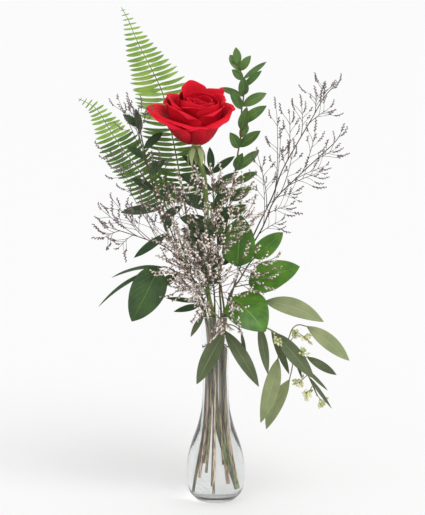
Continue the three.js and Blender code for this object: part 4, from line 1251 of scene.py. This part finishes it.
setCamera()
setFloor()
setLight()
print("studio set")

makeVase()
makeWater()
calyxSkin = stemMaterial("calyxGreen", (0.40, 0.50, 0.22), (0.50, 0.58, 0.30))
makeRoseStem(calyxSkin)
makeBloom(calyxSkin)

# the veins of a leaf: their number, slant, the rib's width, the side veins' share, roughness
fernVeins = (9, 0.3, 0.08, 0.15)
myrtleVeins = (6, 0.8, 0.05, 0.2)
sageVeins = (9, 0.6, 0.05, 0.2, 0.6)
skins = {name: leafMaterial(name, dark, light, vein, *veins) for name, dark, light, vein, veins in [
    ("fernTop", (0.17, 0.34, 0.03), (0.33, 0.53, 0.08), (0.46, 0.62, 0.20), fernVeins),
    # a darker copy of the fern skin, painted shade for the lower leaflets
    ("fernPaintedShade", (0.06, 0.15, 0.02), (0.13, 0.27, 0.04), (0.24, 0.38, 0.10), fernVeins),
    ("fernUnder", (0.18, 0.30, 0.07), (0.28, 0.40, 0.12), (0.38, 0.50, 0.20), fernVeins),
    ("myrtleTop", (0.05, 0.13, 0.02), (0.11, 0.23, 0.04), (0.26, 0.38, 0.14), myrtleVeins),
    # a darker copy of the myrtle skin, painted shade
    ("myrtlePaintedShade", (0.016, 0.05, 0.012), (0.035, 0.095, 0.022), (0.10, 0.17, 0.06), myrtleVeins),
    ("myrtleUnder", (0.07, 0.13, 0.045), (0.10, 0.18, 0.06), (0.20, 0.28, 0.12), ()),
    ("broadTop", (0.035, 0.13, 0.004), (0.095, 0.245, 0.01), (0.17, 0.35, 0.06), ()),
    # a darker copy of the broad leaf skin, painted shade
    ("broadPaintedShade", (0.018, 0.055, 0.008), (0.036, 0.09, 0.012), (0.10, 0.18, 0.045), ()),
    ("broadUnder", (0.12, 0.18, 0.07), (0.18, 0.25, 0.11), (0.22, 0.30, 0.14), ()),
    ("sageTop", (0.21, 0.26, 0.11), (0.29, 0.33, 0.15), (0.38, 0.42, 0.24), sageVeins),
    # a darker copy of the sage skin, painted shade
    ("sagePaintedShade", (0.07, 0.10, 0.035), (0.11, 0.14, 0.06), (0.22, 0.26, 0.13), sageVeins),
]}

fernStalk = stemMaterial("fernStalk", (0.22, 0.38, 0.07), (0.13, 0.20, 0.045), foot=(0.44, 0.36, 0.18))
makeFern("fernTall", fernTall, "fern_tall", fernStalk, 5)
makeFern("fernLeft", fernLeft, "fern_left", fernStalk, 6)

myrtleTwig = stemMaterial("myrtleTwig", (0.22, 0.10, 0.045), (0.12, 0.14, 0.04), foot=(0.80, 0.50, 0.34))
# the left and centre myrtle take the darker skin, painted shade
for name, plan, node, skin, seed in [
        ("myrtleTall", myrtleTall, "myrtle_tall", "myrtleTop", 7),
        ("myrtleLeft", myrtleLeft, "myrtle_left", "myrtlePaintedShade", 8),
        ("myrtleCentre", myrtleCentre, "myrtle_centre", "myrtlePaintedShade", 14)]:
    makeLeafyStem(name, plan, node, ["myrtle"], [skin, "myrtleUnder"], myrtleTwig, seed)

broadStalk = stemMaterial("broadStalk", (0.10, 0.12, 0.04), (0.14, 0.08, 0.035), foot=(0.36, 0.34, 0.16))
# the left broad leaves take the darker skin, painted shade
for name, plan, node, skin, seed in [
        ("broadLeavesRight", salalRight, "salal_right", "broadTop", 9),
        ("broadLeavesLeft", salalLeft, "salal_left", "broadPaintedShade", 10)]:
    makeLeafyStem(name, plan, node, ["salal", "eucalyptus"], [skin, "broadUnder"],
                  broadStalk, seed, wave=0.035)

sageStalk = stemMaterial("sageStalk", (0.22, 0.19, 0.08), (0.30, 0.28, 0.12), foot=(0.40, 0.34, 0.18))
# the neck leaves and the listed right leaves take the darker skin on top, painted shade
for name, plan, node, leafSkins, seed in [
        ("eucalyptusNeck", eucalyptusNeck, "eucalyptus_neck", ["sagePaintedShade", "sageTop"], 11),
        ("eucalyptusRight", eucalyptusRight, "eucalyptus_right", ["sageTop", "sageTop", "sagePaintedShade"], 12)]:
    makeLeafyStem(name, plan, node, ["eucalyptus"], leafSkins, sageStalk, seed, arch=0.05)

twigSkin = stemMaterial("lavenderTwig", (0.035, 0.035, 0.02), (0.09, 0.08, 0.045), 0.6)
mauveCalyx = floretMaterial("mauveCalyx", (0.15, 0.11, 0.11), (0.32, 0.24, 0.25))
mauveMouth = floretMaterial("mauveMouth", (0.30, 0.24, 0.28), (0.55, 0.45, 0.48))
creamCalyx = floretMaterial("creamCalyx", (0.27, 0.17, 0.13), (1.0, 0.92, 0.83))
creamMouth = floretMaterial("creamMouth", (0.88, 0.78, 0.74), (1.0, 0.96, 0.93))
for name, plan, look, node, calyx, mouth, seed in [
        ("seaLavenderRight", lavenderRight, "loose", "sea_lavender_right", mauveCalyx, mauveMouth, 13),
        ("seaLavenderLeft", lavenderLeft, "loose", "sea_lavender_left", mauveCalyx, mauveMouth, 21),
        ("seaLavenderCentre", lavenderCentre, "dense", "sea_lavender_centre", creamCalyx, creamMouth, 33)]:
    makeLavender(name, plan, look, node, calyx, mouth, twigSkin, seed)
